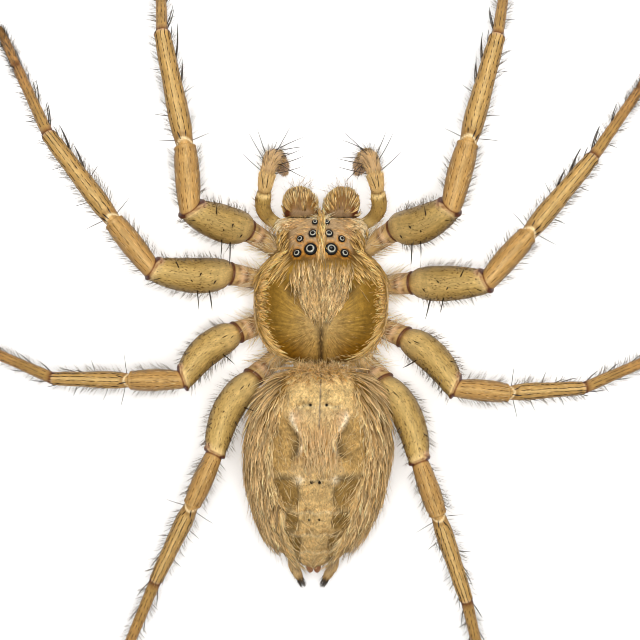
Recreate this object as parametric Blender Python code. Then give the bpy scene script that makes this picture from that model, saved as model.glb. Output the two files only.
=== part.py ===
"""A hairy tan wandering spider, life size, standing still on its eight feet.

Metres, +Z up. The spider faces -Y and its left side is +X. The origin is on the floor,
under the middle of its bounding box. Lengths below are millimetres.
Each body part is one closed solid: limbs are tubes of oval section that meet at a thin cut
across each joint, and the body is lofted from front to back through its cross sections.
"""

import math
from dataclasses import dataclass

import bpy
import numpy as np

MM = 0.001
# Where the middle of the bounding box lies, counted from the middle of the carapace
BOX_MIDDLE = np.array([0.07, 0.97, 0.0])

# Points round a limb, a small limb, a chelicera, the abdomen and the carapace's dome
SIDES = 12
SMALL_SIDES = 10
FANG_SIDES = 8
CHELICERA_SIDES = 20
ABDOMEN_SIDES = 24
DOME_POINTS = 15
# Slits between neighbouring parts
JOINT_GAP = 0.10
EYE_GAP = 0.03

# Carapace, seen from above
FRONT_Y = -4.475
REAR_Y = 2.79
WIDEST_Y = -0.40
HALF_WIDTH = 3.41
FRONT_REACH = 2.90
REAR_REACH = 3.20
FRONT_POWER = 2.3
REAR_POWER = 2.6
HEAD_HALF_WIDTH = 2.18
HEAD_CORNER = 0.40
HEAD_END_Y = -1.0
HEAD_FADE = 1.4
JOIN_POWER = 12
NECK_Y = -2.34
NECK_GAP = 0.08
# Carapace, seen from the side
MARGIN_Z = 3.05
LIP = 0.11
CROWN_RISE = 2.40
CROWN_Y = -1.50
FRONT_DROP = 0.50
FRONT_CURVE = 2.5
REAR_CURVE = 2.2
REAR_ROUND = 0.6
REAR_LEAST_HALF = 1.45
REAR_CROWDING = 1.1
LEAST_RISE = 0.10
# The head's cross sections are boxier than the thorax's, up to this much at this place
BOXY_POWER = 0.30
BOXY_END_Y = -2.2
BOXY_FADE = 0.25
# The underside of the margin, and the bevel along the sternum
MARGIN_TUCK = 0.975
LIP_STEP = 0.02
BEVEL = 0.30
BEVEL_DEPTH = 0.6
STERNUM_FLAT = 0.7
PEDICEL_Z = 2.78
PEDICEL_RADIUS = 0.34
PEDICEL_END_Y = 2.90
# Half width of the sternum and mouthparts, and their underside, at points along Y
STERNUM_HALF = (
    (-4.48, 0.85),
    (-3.4, 0.85),
    (-2.7, 0.72),
    (-2.0, 0.88),
    (-1.0, 1.06),
    (0.3, 1.00),
    (1.5, 0.74),
    (2.8, 0.40),
)
UNDERSIDE_Z = (
    (-4.48, 2.86),
    (-3.4, 2.00),
    (-2.5, 1.66),
    (0.0, 1.60),
    (1.5, 1.72),
    (2.1, 2.15),
    (2.8, 2.62),
)

# Abdomen
ABDOMEN_FRONT_Y = 2.90
ABDOMEN_WIDEST_Y = 7.10
ABDOMEN_TIP_Y = 12.95
ABDOMEN_HALF_WIDTH = 3.66
ABDOMEN_SLENDER = 0.80
ABDOMEN_FRONT_POWER = 1.9
ABDOMEN_SECTIONS = 17
ABDOMEN_Z = ((2.8, 3.86), (4.5, 4.10), (7.1, 4.20), (10.5, 3.75), (13.2, 3.05))
ABDOMEN_LEAN = 0.038

# Chelicera: height, middle in Y, half width, half depth, from the top down
CHELICERA_X = 1.03
CHELICERA_ROWS = (
    (4.04, -5.10, 0.22, 0.16),
    (3.96, -5.12, 0.50, 0.40),
    (3.70, -5.17, 0.75, 0.66),
    (3.30, -5.20, 0.87, 0.80),
    (2.75, -5.22, 0.86, 0.84),
    (2.20, -5.12, 0.76, 0.74),
    (1.75, -5.00, 0.60, 0.57),
    (1.45, -4.92, 0.42, 0.40),
    (1.32, -4.88, 0.22, 0.22),
)
CHELICERA_GAP = 0.07
# Powers of the section's cosine and sine: under 1 makes a corner fuller, over 1 leaner
BACK_POWER = 0.5
OUTER_POWER = 0.85
INNER_POWER = 1.1
INNER_SHARE = 1.14
FANG_PATH = ((0.98, -5.05, 1.75), (0.92, -4.86, 1.22), (0.66, -4.62, 1.02), (0.36, -4.45, 1.05))
FANG_RADIUS = ((0.0, 0.25), (0.4, 0.24), (0.75, 0.14), (1.0, 0.04))
FANG_SECTIONS = 8

# Palp: middle line from its root under the head to its curled tip, and its radius on the way
PALP_PATH = (
    (1.60, -3.95, 2.42),
    (2.12, -4.18, 2.50),
    (2.62, -4.52, 2.86),
    (2.90, -5.08, 3.62),
    (2.84, -5.65, 4.20),
    (2.66, -6.70, 4.50),
    (2.46, -7.34, 4.10),
    (2.26, -7.46, 3.45),
    (2.00, -7.16, 2.75),
    (1.80, -6.72, 2.25),
)
PALP_RADIUS = (
    (0.0, 0.28),
    (0.10, 0.33),
    (0.30, 0.40),
    (0.42, 0.40),
    (0.46, 0.37),
    (0.56, 0.43),
    (0.63, 0.41),
    (0.72, 0.49),
    (0.84, 0.42),
    (0.94, 0.32),
    (1.0, 0.14),
)
PALP_SECTIONS = 26

# Spinneret, the left one: middle line counted from the abdomen's axis, and its radius
SPINNERET_PATH = ((1.04, 12.55, 2.10), (0.98, 12.91, 2.16), (0.76, 13.35, 2.22), (0.58, 13.69, 2.26))
SPINNERET_RADIUS = ((0.0, 0.26), (0.5, 0.26), (0.8, 0.20), (1.0, 0.10))
SPINNERET_SECTIONS = 8


@dataclass
class Pair:
    """True lengths and half widths of one pair of legs."""

    femur: float
    patella: float
    tibia: float
    metatarsus: float
    tarsus: float
    femur_half: float
    patella_half: float
    tibia_half: float


PAIRS = {
    1: Pair(5.43, 3.30, 5.90, 5.00, 2.75, 0.95, 0.64, 0.53),
    2: Pair(5.25, 3.06, 5.60, 4.80, 2.60, 0.90, 0.60, 0.49),
    3: Pair(4.83, 2.75, 4.10, 4.60, 2.40, 0.82, 0.55, 0.43),
    4: Pair(5.67, 2.90, 4.75, 5.60, 2.60, 0.79, 0.53, 0.44),
}


@dataclass
class Stance:
    """Where a leg leaves the sternum, where its femur starts, and how its parts point.

    A heading is counted in degrees from straight ahead towards the leg's own side.
    A rise is counted in degrees up from level. The foot ends on the floor. The sweep is how far
    the femur bulges to the rear between its ends.
    """

    pair: int
    side: int
    root: tuple
    femur_base: tuple
    femur: tuple
    patella: tuple
    tibia: tuple
    metatarsus_heading: float
    tarsus_heading: float
    sweep: float


STANCES = {
    "left_1": Stance(
        1, 1, (1.14, -2.32), (3.73, -3.93), (70.0, 57.6), (5.0, -19.9), (11.6, -10.0), 3.0, 1.0, 0.14
    ),
    "right_1": Stance(
        1, -1, (1.14, -2.32), (3.73, -3.93), (67.8, 57.8), (15.3, -11.0), (15.7, -18.8), 9.9, 5.2, 0.26
    ),
    "left_2": Stance(
        2, 1, (1.40, -1.08), (4.63, -1.73), (86.4, 43.8), (38.8, -11.7), (37.2, -12.7), 26.0, 25.8, 0.22
    ),
    "right_2": Stance(
        2, -1, (1.40, -1.02), (4.64, -1.26), (88.6, 46.8), (41.5, -6.5), (40.4, -23.9), 35.3, 33.3, 0.08
    ),
    "left_3": Stance(
        3, 1, (1.38, 0.22), (4.29, 1.24), (131.3, 43.7), (91.3, -21.2), (88.7, -17.8), 67.2, 68.5, -0.28
    ),
    "right_3": Stance(
        3, -1, (1.38, 0.26), (4.24, 1.48), (134.9, 43.2), (95.8, -20.9), (86.5, -20.3), 67.4, 69.3, -0.25
    ),
    "left_4": Stance(
        4, 1, (1.06, 1.50), (3.43, 3.50), (153.7, 42.1), (155.9, -20.5), (154.3, -24.9), 157.2, 151.5, -0.38
    ),
    "right_4": Stance(
        4, -1, (1.06, 1.52), (3.15, 3.70), (156.2, 40.2), (160.8, -18.2), (161.4, -16.0), 166.6, 171.2, -0.37
    ),
}
ROOT_Z = 2.12
FEMUR_BASE_Z = 2.48
ANKLE_Z = 1.35
TOE_Z = 0.15
TOE_LENGTH = 0.50
COXA_HALF = 0.55
TROCHANTER_HALF = 0.60
FEMUR_BOW = 0.10
METATARSUS_HALF = 0.28
TARSUS_HALF = 0.25
TOE_HALF = 0.17
TALL = 1.04
# Half width at points along a part of the leg, as a share of the part's own half width
COXA_SIZES = ((0.0, 0.92), (0.35, 1.0), (0.62, 0.95), (1.0, TROCHANTER_HALF / COXA_HALF))
FEMUR_SIZES = ((0.0, 0.66), (0.05, 0.80), (0.14, 0.92), (0.38, 1.0), (0.75, 0.88), (1.0, 0.70))
PATELLA_SIZES = ((0.0, 0.86), (0.45, 1.0), (0.85, 0.94), (1.0, 0.86))
TIBIA_SIZES = ((0.0, 0.84), (0.14, 1.0), (0.6, 0.92), (0.92, 0.84), (1.0, 0.78))
COXA_SECTIONS = 7
FEMUR_SECTIONS = 11
PATELLA_SECTIONS = 8
TIBIA_SECTIONS = 9
FOOT_SECTIONS = 15
# An end that leans into its joint plane does so over this many half widths, or this share of its part
LEAN_HALVES = 3.2
LEAN_SHARE = 0.48

# Eyes on one side: name, distance from the middle line, Y, radius
EYES = (
    ("front", 0.29, -4.285, 0.155),
    ("middle", 0.395, -3.70, 0.225),
    ("small_side", 1.035, -3.44, 0.185),
    ("large", 0.515, -2.925, 0.315),
    ("rear_side", 1.18, -2.72, 0.225),
)
HEAD_MIDDLE_X = 0.005
EYE_DEPTH = 0.35
EYE_POLE = 0.12
EYE_FLAT = 0.8
EYE_RINGS = 7
EYE_SIDES = 10
EYE_STEP = 0.08

FINISHES = {
    "carapace": ((0.42, 0.30, 0.11), 0.50),
    "abdomen": ((0.47, 0.36, 0.19), 0.80),
    "leg": ((0.52, 0.34, 0.15), 0.60),
    "chelicera": ((0.40, 0.24, 0.11), 0.55),
    "palp": ((0.50, 0.36, 0.18), 0.60),
    "spinneret": ((0.45, 0.30, 0.13), 0.70),
    "eye": ((0.01, 0.01, 0.012), 0.12),
}


def unit(vector):
    return vector / np.linalg.norm(vector, axis=-1, keepdims=True)


def eased(stations, at):
    """The smooth curve through the stations (place, value, ...): cubics with centred slopes."""
    table = np.array(stations, dtype=float)
    place = table[:, 0]
    value = table[:, 1:]
    slope = np.gradient(value, place, axis=0)
    at = np.clip(np.asarray(at, dtype=float), place[0], place[-1])
    k = np.clip(np.searchsorted(place, at, side="right") - 1, 0, len(place) - 2)
    step = (place[k + 1] - place[k])[:, None]
    t = (at - place[k])[:, None] / step
    start = (1 + 2 * t) * (1 - t) ** 2 * value[k] + t * (1 - t) ** 2 * step * slope[k]
    end = t**2 * (3 - 2 * t) * value[k + 1] + t**2 * (t - 1) * step * slope[k + 1]
    result = start + end
    return result[:, 0] if result.shape[1] == 1 else result


def smooth_path(points, count):
    """A smooth curve through the points, at equal steps of their chord length."""
    points = np.array(points, dtype=float)
    run = np.concatenate([[0.0], np.cumsum(np.linalg.norm(np.diff(points, axis=0), axis=1))])
    stations = np.column_stack([run / run[-1], points])
    return eased(stations, np.linspace(0.0, 1.0, count))


def direction(side, heading, rise):
    """The unit vector at this heading and rise, in degrees, on the side +1 (left) or -1 (right)."""
    turn = math.radians(heading)
    tilt = math.radians(rise)
    level = math.cos(tilt)
    return np.array([side * math.sin(turn) * level, -math.cos(turn) * level, math.sin(tilt)])


def lean(offset, axis, normal):
    """How far each ring point slides along the axis to lie in the plane with this normal."""
    return -(offset @ normal) / (axis @ normal)


def tube(path, half_width, half_height, start_normal=None, end_normal=None, sides=SIDES):
    """Rings of oval section square to a path.

    A point of a ring is path + half_width cos(a) side + half_height sin(a) up. Towards an end
    that has a joint plane, the rings slide along the path until the last one lies in it.
    """
    axis = unit(np.gradient(path, axis=0))
    side = unit(np.cross(axis, np.array([0.0, 0.0, 1.0])))
    up = np.cross(side, axis)
    angle = np.arange(sides) * 2 * math.pi / sides
    width = np.broadcast_to(half_width, len(path))[:, None, None]
    height = np.broadcast_to(half_height, len(path))[:, None, None]
    offset = width * np.cos(angle)[None, :, None] * side[:, None, :]
    offset = offset + height * np.sin(angle)[None, :, None] * up[:, None, :]
    run = np.concatenate([[0.0], np.cumsum(np.linalg.norm(np.diff(path, axis=0), axis=1))])
    rings = path[:, None, :] + offset
    for normal, distance in ((start_normal, run), (end_normal, run[-1] - run)):
        if normal is None:
            continue
        fade_length = min(LEAN_HALVES * float(np.max(width)), LEAN_SHARE * run[-1])
        fade = np.clip(1 - distance / fade_length, 0.0, 1.0)
        fade = fade**2 * (3 - 2 * fade)
        for k in range(len(path)):
            slide = lean(offset[k], axis[k], normal)
            rings[k] += fade[k] * slide[:, None] * axis[k]
    return rings


def closed_faces(ring_count, ring_size):
    """Quads between neighbouring rings, and one flat face over each end."""
    faces = []
    for i in range(ring_count - 1):
        for j in range(ring_size):
            k = (j + 1) % ring_size
            here = i * ring_size
            there = here + ring_size
            faces.append((here + j, here + k, there + k, there + j))
    faces.append(tuple(range(ring_size))[::-1])
    faces.append(tuple(range((ring_count - 1) * ring_size, ring_count * ring_size)))
    return faces


def finish_of(kind):
    """The plain material of this kind of part."""
    if kind in bpy.data.materials:
        return bpy.data.materials[kind]
    colour, roughness = FINISHES[kind]
    material = bpy.data.materials.new(kind)
    material.use_nodes = True
    shader = material.node_tree.nodes["Principled BSDF"]
    shader.inputs["Base Color"].default_value = (*colour, 1.0)
    shader.inputs["Roughness"].default_value = roughness
    shader.inputs["Metallic"].default_value = 0.0
    return material


def solid(name, rings, kind, collection=None):
    """The closed solid over these rings, as an object of this kind."""
    rings = np.asarray(rings, dtype=float)
    count, size = rings.shape[:2]
    points = (rings.reshape(-1, 3) - BOX_MIDDLE) * MM
    faces = closed_faces(count, size)
    corners = points[np.array([face[:3] for face in faces[:-2]])]
    middle = points.mean(axis=0)
    facing = np.cross(corners[:, 1] - corners[:, 0], corners[:, 2] - corners[:, 0])
    if np.einsum("ij,ij->i", facing, corners[:, 0] - middle).sum() < 0:
        faces = [face[::-1] for face in faces]
    mesh = bpy.data.meshes.new(name)
    mesh.from_pydata(points.tolist(), [], faces)
    mesh.shade_smooth()
    mesh.set_sharp_from_angle(angle=math.radians(50))
    mesh.materials.append(finish_of(kind))
    piece = bpy.data.objects.new(name, mesh)
    (collection or bpy.context.scene.collection).objects.link(piece)
    return piece


def helper_collection(name):
    """A collection for cutters and for pieces that are joined to others."""
    collection = bpy.data.collections.new(name)
    bpy.context.scene.collection.children.link(collection)
    return collection


def hide(piece):
    """Marks a helper, which is no part of the spider."""
    piece.hide_render = True
    piece.display_type = "WIRE"


def carapace_half_width(y):
    """Half width of the carapace at y: an oval thorax and a head with parallel sides, joined."""
    reach = np.where(y < WIDEST_Y, FRONT_REACH, REAR_REACH)
    power = np.where(y < WIDEST_Y, FRONT_POWER, REAR_POWER)
    share = np.clip(np.abs(y - WIDEST_Y) / reach, 0.0, 1.0)
    oval = HALF_WIDTH * (1 - share**power) ** (1 / power)
    into_corner = np.clip((FRONT_Y + HEAD_CORNER - y) / HEAD_CORNER, 0.0, 1.0)
    head = HEAD_HALF_WIDTH - HEAD_CORNER * (1 - np.sqrt(1 - into_corner**2))
    head = head * np.clip((HEAD_END_Y - y) / HEAD_FADE, 0.0, 1.0)
    return (oval**JOIN_POWER + head**JOIN_POWER) ** (1 / JOIN_POWER)


def carapace_rise(y):
    """Height of the carapace's middle line over its margin: highest at the crown, round at the rear."""
    ahead = np.clip((CROWN_Y - y) / (CROWN_Y - FRONT_Y), 0.0, 1.0)
    behind = np.clip(y / REAR_Y, 0.0, 1.0)
    front = 1 - FRONT_DROP * ahead**FRONT_CURVE
    return CROWN_RISE * front * (1 - behind**REAR_CURVE) ** REAR_ROUND


def prosoma_ring(y):
    """Cross section of the front body: the domed carapace, its overhanging margin, and the sternum."""
    y = float(y)
    half = max(float(carapace_half_width(np.array(y))), REAR_LEAST_HALF if y > 0 else 0.0)
    rise = max(float(carapace_rise(np.array(y))), LEAST_RISE)
    core = float(eased(STERNUM_HALF, [y])[0])
    under = float(eased(UNDERSIDE_Z, [y])[0])
    boxy = 1 / (1 + math.exp((y - BOXY_END_Y) / BOXY_FADE))
    power = 1 - BOXY_POWER * boxy
    angle = np.linspace(0.0, math.pi, DOME_POINTS)
    dome_x = half * np.sign(np.cos(angle)) * np.abs(np.cos(angle)) ** power
    dome_z = MARGIN_Z + rise * np.abs(np.sin(angle)) ** power
    lip_z = MARGIN_Z - LIP
    bevel_z = under + BEVEL * min(1.0, (lip_z - under) / BEVEL_DEPTH)
    low_x = np.array([MARGIN_TUCK * half, core, core, STERNUM_FLAT * core])
    low_z = np.array([lip_z, lip_z - LIP_STEP, bevel_z, under])
    x = np.concatenate([dome_x, -low_x, low_x[::-1]])
    z = np.concatenate([dome_z, low_z, low_z[::-1]])
    return np.column_stack([x, np.full(len(x), y), z])


def pedicel_ring(y, ring_size):
    """A round section of the stalk between the body's halves, with as many points as a prosoma ring."""
    top = np.linspace(0.0, math.pi, DOME_POINTS)
    bottom = np.linspace(math.pi, 2 * math.pi, ring_size - DOME_POINTS + 2)[1:-1]
    angle = np.concatenate([top, bottom])
    x = PEDICEL_RADIUS * np.cos(angle)
    z = PEDICEL_Z + PEDICEL_RADIUS * np.sin(angle)
    return np.column_stack([x, np.full(len(x), y), z])


def make_prosoma():
    """The head and the thorax, parted by a thin cut across the neck."""
    head_front = FRONT_Y + HEAD_CORNER * np.array([0.0, 0.12, 0.45, 1.0])
    head_rest = np.linspace(FRONT_Y + HEAD_CORNER, NECK_Y - NECK_GAP / 2, 6)[1:]
    head_rings = [prosoma_ring(y) for y in np.concatenate([head_front, head_rest])]
    head = solid("head", head_rings, "carapace")
    thorax_start = NECK_Y + NECK_GAP / 2
    share = np.sin(np.linspace(0.0, math.pi / 2, DOME_POINTS)) ** REAR_CROWDING
    thorax_y = thorax_start + (REAR_Y - thorax_start) * share
    rings = [prosoma_ring(y) for y in thorax_y]
    ring_size = len(rings[0])
    rings.append(pedicel_ring(REAR_Y + LIP_STEP, ring_size))
    rings.append(pedicel_ring(PEDICEL_END_Y, ring_size))
    solid("thorax", rings, "carapace")
    return head


def head_surface(x, y):
    """Height of the head's top at (x, y)."""
    ring = prosoma_ring(y)[:DOME_POINTS]
    return float(np.interp(-x, -ring[:, 0], ring[:, 2]))


def eye_rings(middle, normal, radius):
    """A ball flattened along its normal, from pole to pole."""
    side = unit(np.cross(normal, np.array([0.0, 1.0, 0.0])))
    up = np.cross(side, normal)
    polar = np.linspace(EYE_POLE, math.pi - EYE_POLE, EYE_RINGS)
    angle = np.arange(EYE_SIDES) * 2 * math.pi / EYE_SIDES
    rings = []
    for turn in polar:
        circle = np.cos(angle)[:, None] * side + np.sin(angle)[:, None] * up
        rings.append(middle + radius * (math.sin(turn) * circle + EYE_FLAT * math.cos(turn) * normal))
    return rings


def make_eyes(head):
    """Ten round eyes, each in its own socket in the head."""
    sockets = helper_collection("eye_sockets")
    for place, x, y, radius in EYES:
        for side_name, side in (("left", 1), ("right", -1)):
            seat = np.array([HEAD_MIDDLE_X + side * x, y, head_surface(x, y)])
            rise_x = head_surface(x + EYE_STEP, y) - head_surface(x - EYE_STEP, y)
            rise_y = head_surface(x, y + EYE_STEP) - head_surface(x, y - EYE_STEP)
            normal = unit(np.array([-side * rise_x, -rise_y, 2 * EYE_STEP]))
            middle = seat - EYE_DEPTH * radius * normal
            solid(f"eye_{place}_{side_name}", eye_rings(middle, normal, radius), "eye")
            cutter_rings = eye_rings(middle, normal, radius + EYE_GAP)
            cutter = solid(f"socket_{place}_{side_name}", cutter_rings, "eye", sockets)
            hide(cutter)
    cut = head.modifiers.new("eye sockets", "BOOLEAN")
    cut.operation = "DIFFERENCE"
    cut.operand_type = "COLLECTION"
    cut.collection = sockets
    cut.solver = "EXACT"


def make_abdomen():
    """The abdomen: oval sections along a line that leans a little to the left."""
    turn = np.linspace(0.0, math.pi, ABDOMEN_SECTIONS + 2)[1:-1]
    middle_y = (ABDOMEN_FRONT_Y + ABDOMEN_TIP_Y) / 2
    y = middle_y - (ABDOMEN_TIP_Y - ABDOMEN_FRONT_Y) / 2 * np.cos(turn)
    half = abdomen_half_width(y)
    centre_z = eased(ABDOMEN_Z, y)
    angle = np.arange(ABDOMEN_SIDES) * 2 * math.pi / ABDOMEN_SIDES
    x = abdomen_middle_x(y)[:, None] + half[:, None] * np.cos(angle)
    z = centre_z[:, None] + ABDOMEN_SLENDER * half[:, None] * np.sin(angle)
    rings = np.stack([x, np.broadcast_to(y[:, None], x.shape), z], axis=-1)
    solid("abdomen", rings, "abdomen")


def abdomen_half_width(y):
    """Half width of the abdomen: blunt in front of its widest place, an ellipse behind it."""
    ahead = np.clip((ABDOMEN_WIDEST_Y - y) / (ABDOMEN_WIDEST_Y - ABDOMEN_FRONT_Y), 0.0, 1.0)
    behind = np.clip((y - ABDOMEN_WIDEST_Y) / (ABDOMEN_TIP_Y - ABDOMEN_WIDEST_Y), 0.0, 1.0)
    return ABDOMEN_HALF_WIDTH * np.cbrt(1 - ahead**ABDOMEN_FRONT_POWER) * np.sqrt(1 - behind**2)


def abdomen_middle_x(y):
    """Where the abdomen's axis lies at y: it leans to the left towards the tip."""
    return ABDOMEN_LEAN * (y - ABDOMEN_FRONT_Y)


def mirrored(points, side):
    """The points of the left side, or their mirror image for side -1."""
    return np.array(points, dtype=float) * np.array([side, 1.0, 1.0])


def make_chelicera(side_name, side):
    """A swollen base that hangs from the face, with its fang folded inwards under it.

    Its sections are D-shaped: half width |cos(a)|^power, half depth |sin(a)|, with the two corners
    against the face squared and its back cut flat just in front of the face. The inner side is wider.
    """
    angle = math.pi / 2 + np.arange(CHELICERA_SIDES) * 2 * math.pi / CHELICERA_SIDES
    across = np.cos(angle)
    deep = np.sin(angle)
    back = deep > 0
    outer = side * across > 0
    front_power = np.where(outer, OUTER_POWER, INNER_POWER)
    x_share = np.sign(across) * np.abs(across) ** np.where(back, BACK_POWER, front_power)
    x_share = x_share * np.where(outer, 1.0, INNER_SHARE)
    y_share = np.where(back, np.abs(deep) ** BACK_POWER, deep)
    rings = []
    for z, y, half_width, half_depth in CHELICERA_ROWS:
        x_row = side * CHELICERA_X + half_width * x_share
        y_row = np.minimum(y + half_depth * y_share, FRONT_Y - CHELICERA_GAP)
        rings.append(np.column_stack([x_row, y_row, np.full(len(angle), z)]))
    base = solid(f"chelicera_{side_name}", rings, "chelicera")
    fang_path = smooth_path(mirrored(FANG_PATH, side), FANG_SECTIONS)
    radius = eased(FANG_RADIUS, np.linspace(0.0, 1.0, FANG_SECTIONS))
    fang_rings = tube(fang_path, radius, radius, sides=FANG_SIDES)
    joined = helper_collection(f"fang_{side_name}")
    fang = solid(f"fang_piece_{side_name}", fang_rings, "chelicera", joined)
    hide(fang)
    join = base.modifiers.new("fang", "BOOLEAN")
    join.operation = "UNION"
    join.operand_type = "COLLECTION"
    join.collection = joined
    join.solver = "EXACT"


def make_palp(side_name, side):
    """A feeler, from its root beside the mouth to its curled tip."""
    path = smooth_path(mirrored(PALP_PATH, side), PALP_SECTIONS)
    radius = eased(PALP_RADIUS, np.linspace(0.0, 1.0, PALP_SECTIONS))
    solid(f"palp_{side_name}", tube(path, radius, radius), "palp")


def make_spinneret(side_name, side):
    """A long spinneret behind the abdomen, bent towards the middle."""
    points = mirrored(SPINNERET_PATH, side)
    points[:, 0] += abdomen_middle_x(points[:, 1])
    path = smooth_path(points, SPINNERET_SECTIONS)
    radius = eased(SPINNERET_RADIUS, np.linspace(0.0, 1.0, SPINNERET_SECTIONS))
    solid(f"spinneret_{side_name}", tube(path, radius, radius, sides=SMALL_SIDES), "spinneret")


def leg_joints(stance):
    """The joints of a leg from its root to its toe."""
    size = PAIRS[stance.pair]
    side = stance.side
    root = np.array([side * stance.root[0], stance.root[1], ROOT_Z])
    base = np.array([side * stance.femur_base[0], stance.femur_base[1], FEMUR_BASE_Z])
    knee = base + size.femur * direction(side, *stance.femur)
    shin = knee + size.patella * direction(side, *stance.patella)
    heel = shin + size.tibia * direction(side, *stance.tibia)
    fall = math.degrees(math.asin((ANKLE_Z - heel[2]) / size.metatarsus))
    ankle = heel + size.metatarsus * direction(side, stance.metatarsus_heading, fall)
    fall = math.degrees(math.asin((TOE_Z - ankle[2]) / size.tarsus))
    toe = ankle + size.tarsus * direction(side, stance.tarsus_heading, fall)
    return [root, base, knee, shin, heel, ankle, toe]


def segment(start, end, start_normal, end_normal, sizes, thick, count, bow=0.0, sweep=0.0):
    """A tube between two joints, cut back from both by half the joint gap.

    Its half width is thick times the shares in sizes. It rises by bow and leans along its
    horizontal side by sweep, half way between its ends.
    """
    axis = unit(end - start)
    side = unit(np.cross(axis, np.array([0.0, 0.0, 1.0])))
    up = np.cross(side, axis)
    trim_start = JOINT_GAP / 2 / abs(axis @ start_normal)
    trim_end = JOINT_GAP / 2 / abs(axis @ end_normal)
    length = np.linalg.norm(end - start)
    share = np.linspace(0.0, 1.0, count)
    reach = trim_start + (length - trim_start - trim_end) * share
    bulge = np.sin(math.pi * share)[:, None] * (bow * up + sweep * side)
    path = start + reach[:, None] * axis + bulge
    half = thick * eased(sizes, share)
    return tube(path, half, TALL * half, start_normal, end_normal)


def make_leg(name, stance):
    """Five solids: coxa, femur, patella, tibia, and the foot, which is metatarsus and tarsus in one."""
    size = PAIRS[stance.pair]
    joints = leg_joints(stance)
    axes = [unit(b - a) for a, b in zip(joints, joints[1:])]
    normals = [axes[0]] + [unit(a + b) for a, b in zip(axes, axes[1:])]
    root, base, knee, shin = joints[:4]
    heel = joints[4]
    sweep = -stance.side * stance.sweep

    coxa = segment(root, base, normals[0], normals[1], COXA_SIZES, COXA_HALF, COXA_SECTIONS)
    solid(f"leg_{name}_coxa", coxa, "leg")
    femur = segment(
        base, knee, normals[1], normals[2], FEMUR_SIZES, size.femur_half, FEMUR_SECTIONS, FEMUR_BOW, sweep
    )
    solid(f"leg_{name}_femur", femur, "leg")
    patella = segment(
        knee, shin, normals[2], normals[3], PATELLA_SIZES, size.patella_half, PATELLA_SECTIONS
    )
    solid(f"leg_{name}_patella", patella, "leg")
    tibia = segment(shin, heel, normals[3], normals[4], TIBIA_SIZES, size.tibia_half, TIBIA_SECTIONS)
    solid(f"leg_{name}_tibia", tibia, "leg")
    solid(f"leg_{name}_foot", foot_rings(stance, joints, axes[4], normals[4]), "leg")


def foot_rings(stance, joints, axis, normal):
    """The metatarsus and the tarsus in one tube, bent at the ankle, its toe lying on the floor."""
    size = PAIRS[stance.pair]
    heel, ankle, toe = joints[4:]
    start = heel + JOINT_GAP / 2 / abs(axis @ normal) * axis
    toe_start = toe - TOE_LENGTH * direction(stance.side, stance.tarsus_heading, 0.0)
    before = (start + 2 * ankle) / 3
    after = (ankle + toe_start) / 2
    path = smooth_path([start, before, ankle, after, toe_start, toe], FOOT_SECTIONS)
    split = size.metatarsus / (size.metatarsus + size.tarsus)
    sizes = (
        (0.0, 1.10 * METATARSUS_HALF),
        (0.2, METATARSUS_HALF),
        (split - 0.03, 0.92 * METATARSUS_HALF),
        (split + 0.05, TARSUS_HALF),
        (0.93, 0.88 * TARSUS_HALF),
        (1.0, TOE_HALF),
    )
    half = eased(sizes, np.linspace(0.0, 1.0, FOOT_SECTIONS))
    rings = tube(path, half, half, normal, None, sides=SMALL_SIDES)
    rings[..., 2] = np.maximum(rings[..., 2], 0.0)
    return rings


def main():
    for old in list(bpy.data.objects):
        bpy.data.objects.remove(old, do_unlink=True)
    head = make_prosoma()
    make_eyes(head)
    make_abdomen()
    for side_name, side in (("left", 1), ("right", -1)):
        make_chelicera(side_name, side)
        make_palp(side_name, side)
        make_spinneret(side_name, side)
    for name, stance in STANCES.items():
        make_leg(name, stance)


main()
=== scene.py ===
"""The looks of a hairy tan wandering spider, life size: skin, eyes, fangs, claws, spines and coat.

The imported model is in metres. The spider faces -Y, its left side is +X, +Z is up, the floor is z = 0.
Sizes below are millimetres counted from the middle of the carapace, as they are in the frame's own
source, and to_frame() carries them over. A stretch of skin is a grid of points, ring after ring
along it and point after point round each ring, and every hair grows from a place on such a grid.
"""

import math
from dataclasses import dataclass

import bpy
import numpy as np
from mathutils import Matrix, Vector


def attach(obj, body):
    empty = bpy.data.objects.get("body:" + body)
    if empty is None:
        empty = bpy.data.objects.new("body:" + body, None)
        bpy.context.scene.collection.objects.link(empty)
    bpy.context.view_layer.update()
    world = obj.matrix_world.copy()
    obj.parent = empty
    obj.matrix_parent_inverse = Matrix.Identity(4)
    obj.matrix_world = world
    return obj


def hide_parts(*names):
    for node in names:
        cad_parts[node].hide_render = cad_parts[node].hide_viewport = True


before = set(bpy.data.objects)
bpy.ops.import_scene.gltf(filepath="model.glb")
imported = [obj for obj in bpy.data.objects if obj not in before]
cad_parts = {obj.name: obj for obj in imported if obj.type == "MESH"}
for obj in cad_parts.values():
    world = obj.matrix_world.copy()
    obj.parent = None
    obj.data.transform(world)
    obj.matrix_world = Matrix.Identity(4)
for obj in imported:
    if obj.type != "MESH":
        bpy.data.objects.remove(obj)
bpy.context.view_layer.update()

MM = 0.001
BOX_MIDDLE = np.array([0.07, 0.97, 0.0])
SEED = 4
rng = np.random.default_rng(SEED)
SIDES = (("left", 1), ("right", -1))
UPWARDS = np.array([0.0, 0.0, 1.0])
OUTWARDS = np.array([1.0, 0.0, 0.0])
REARWARDS = np.array([0.0, 1.0, 0.0])

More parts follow.
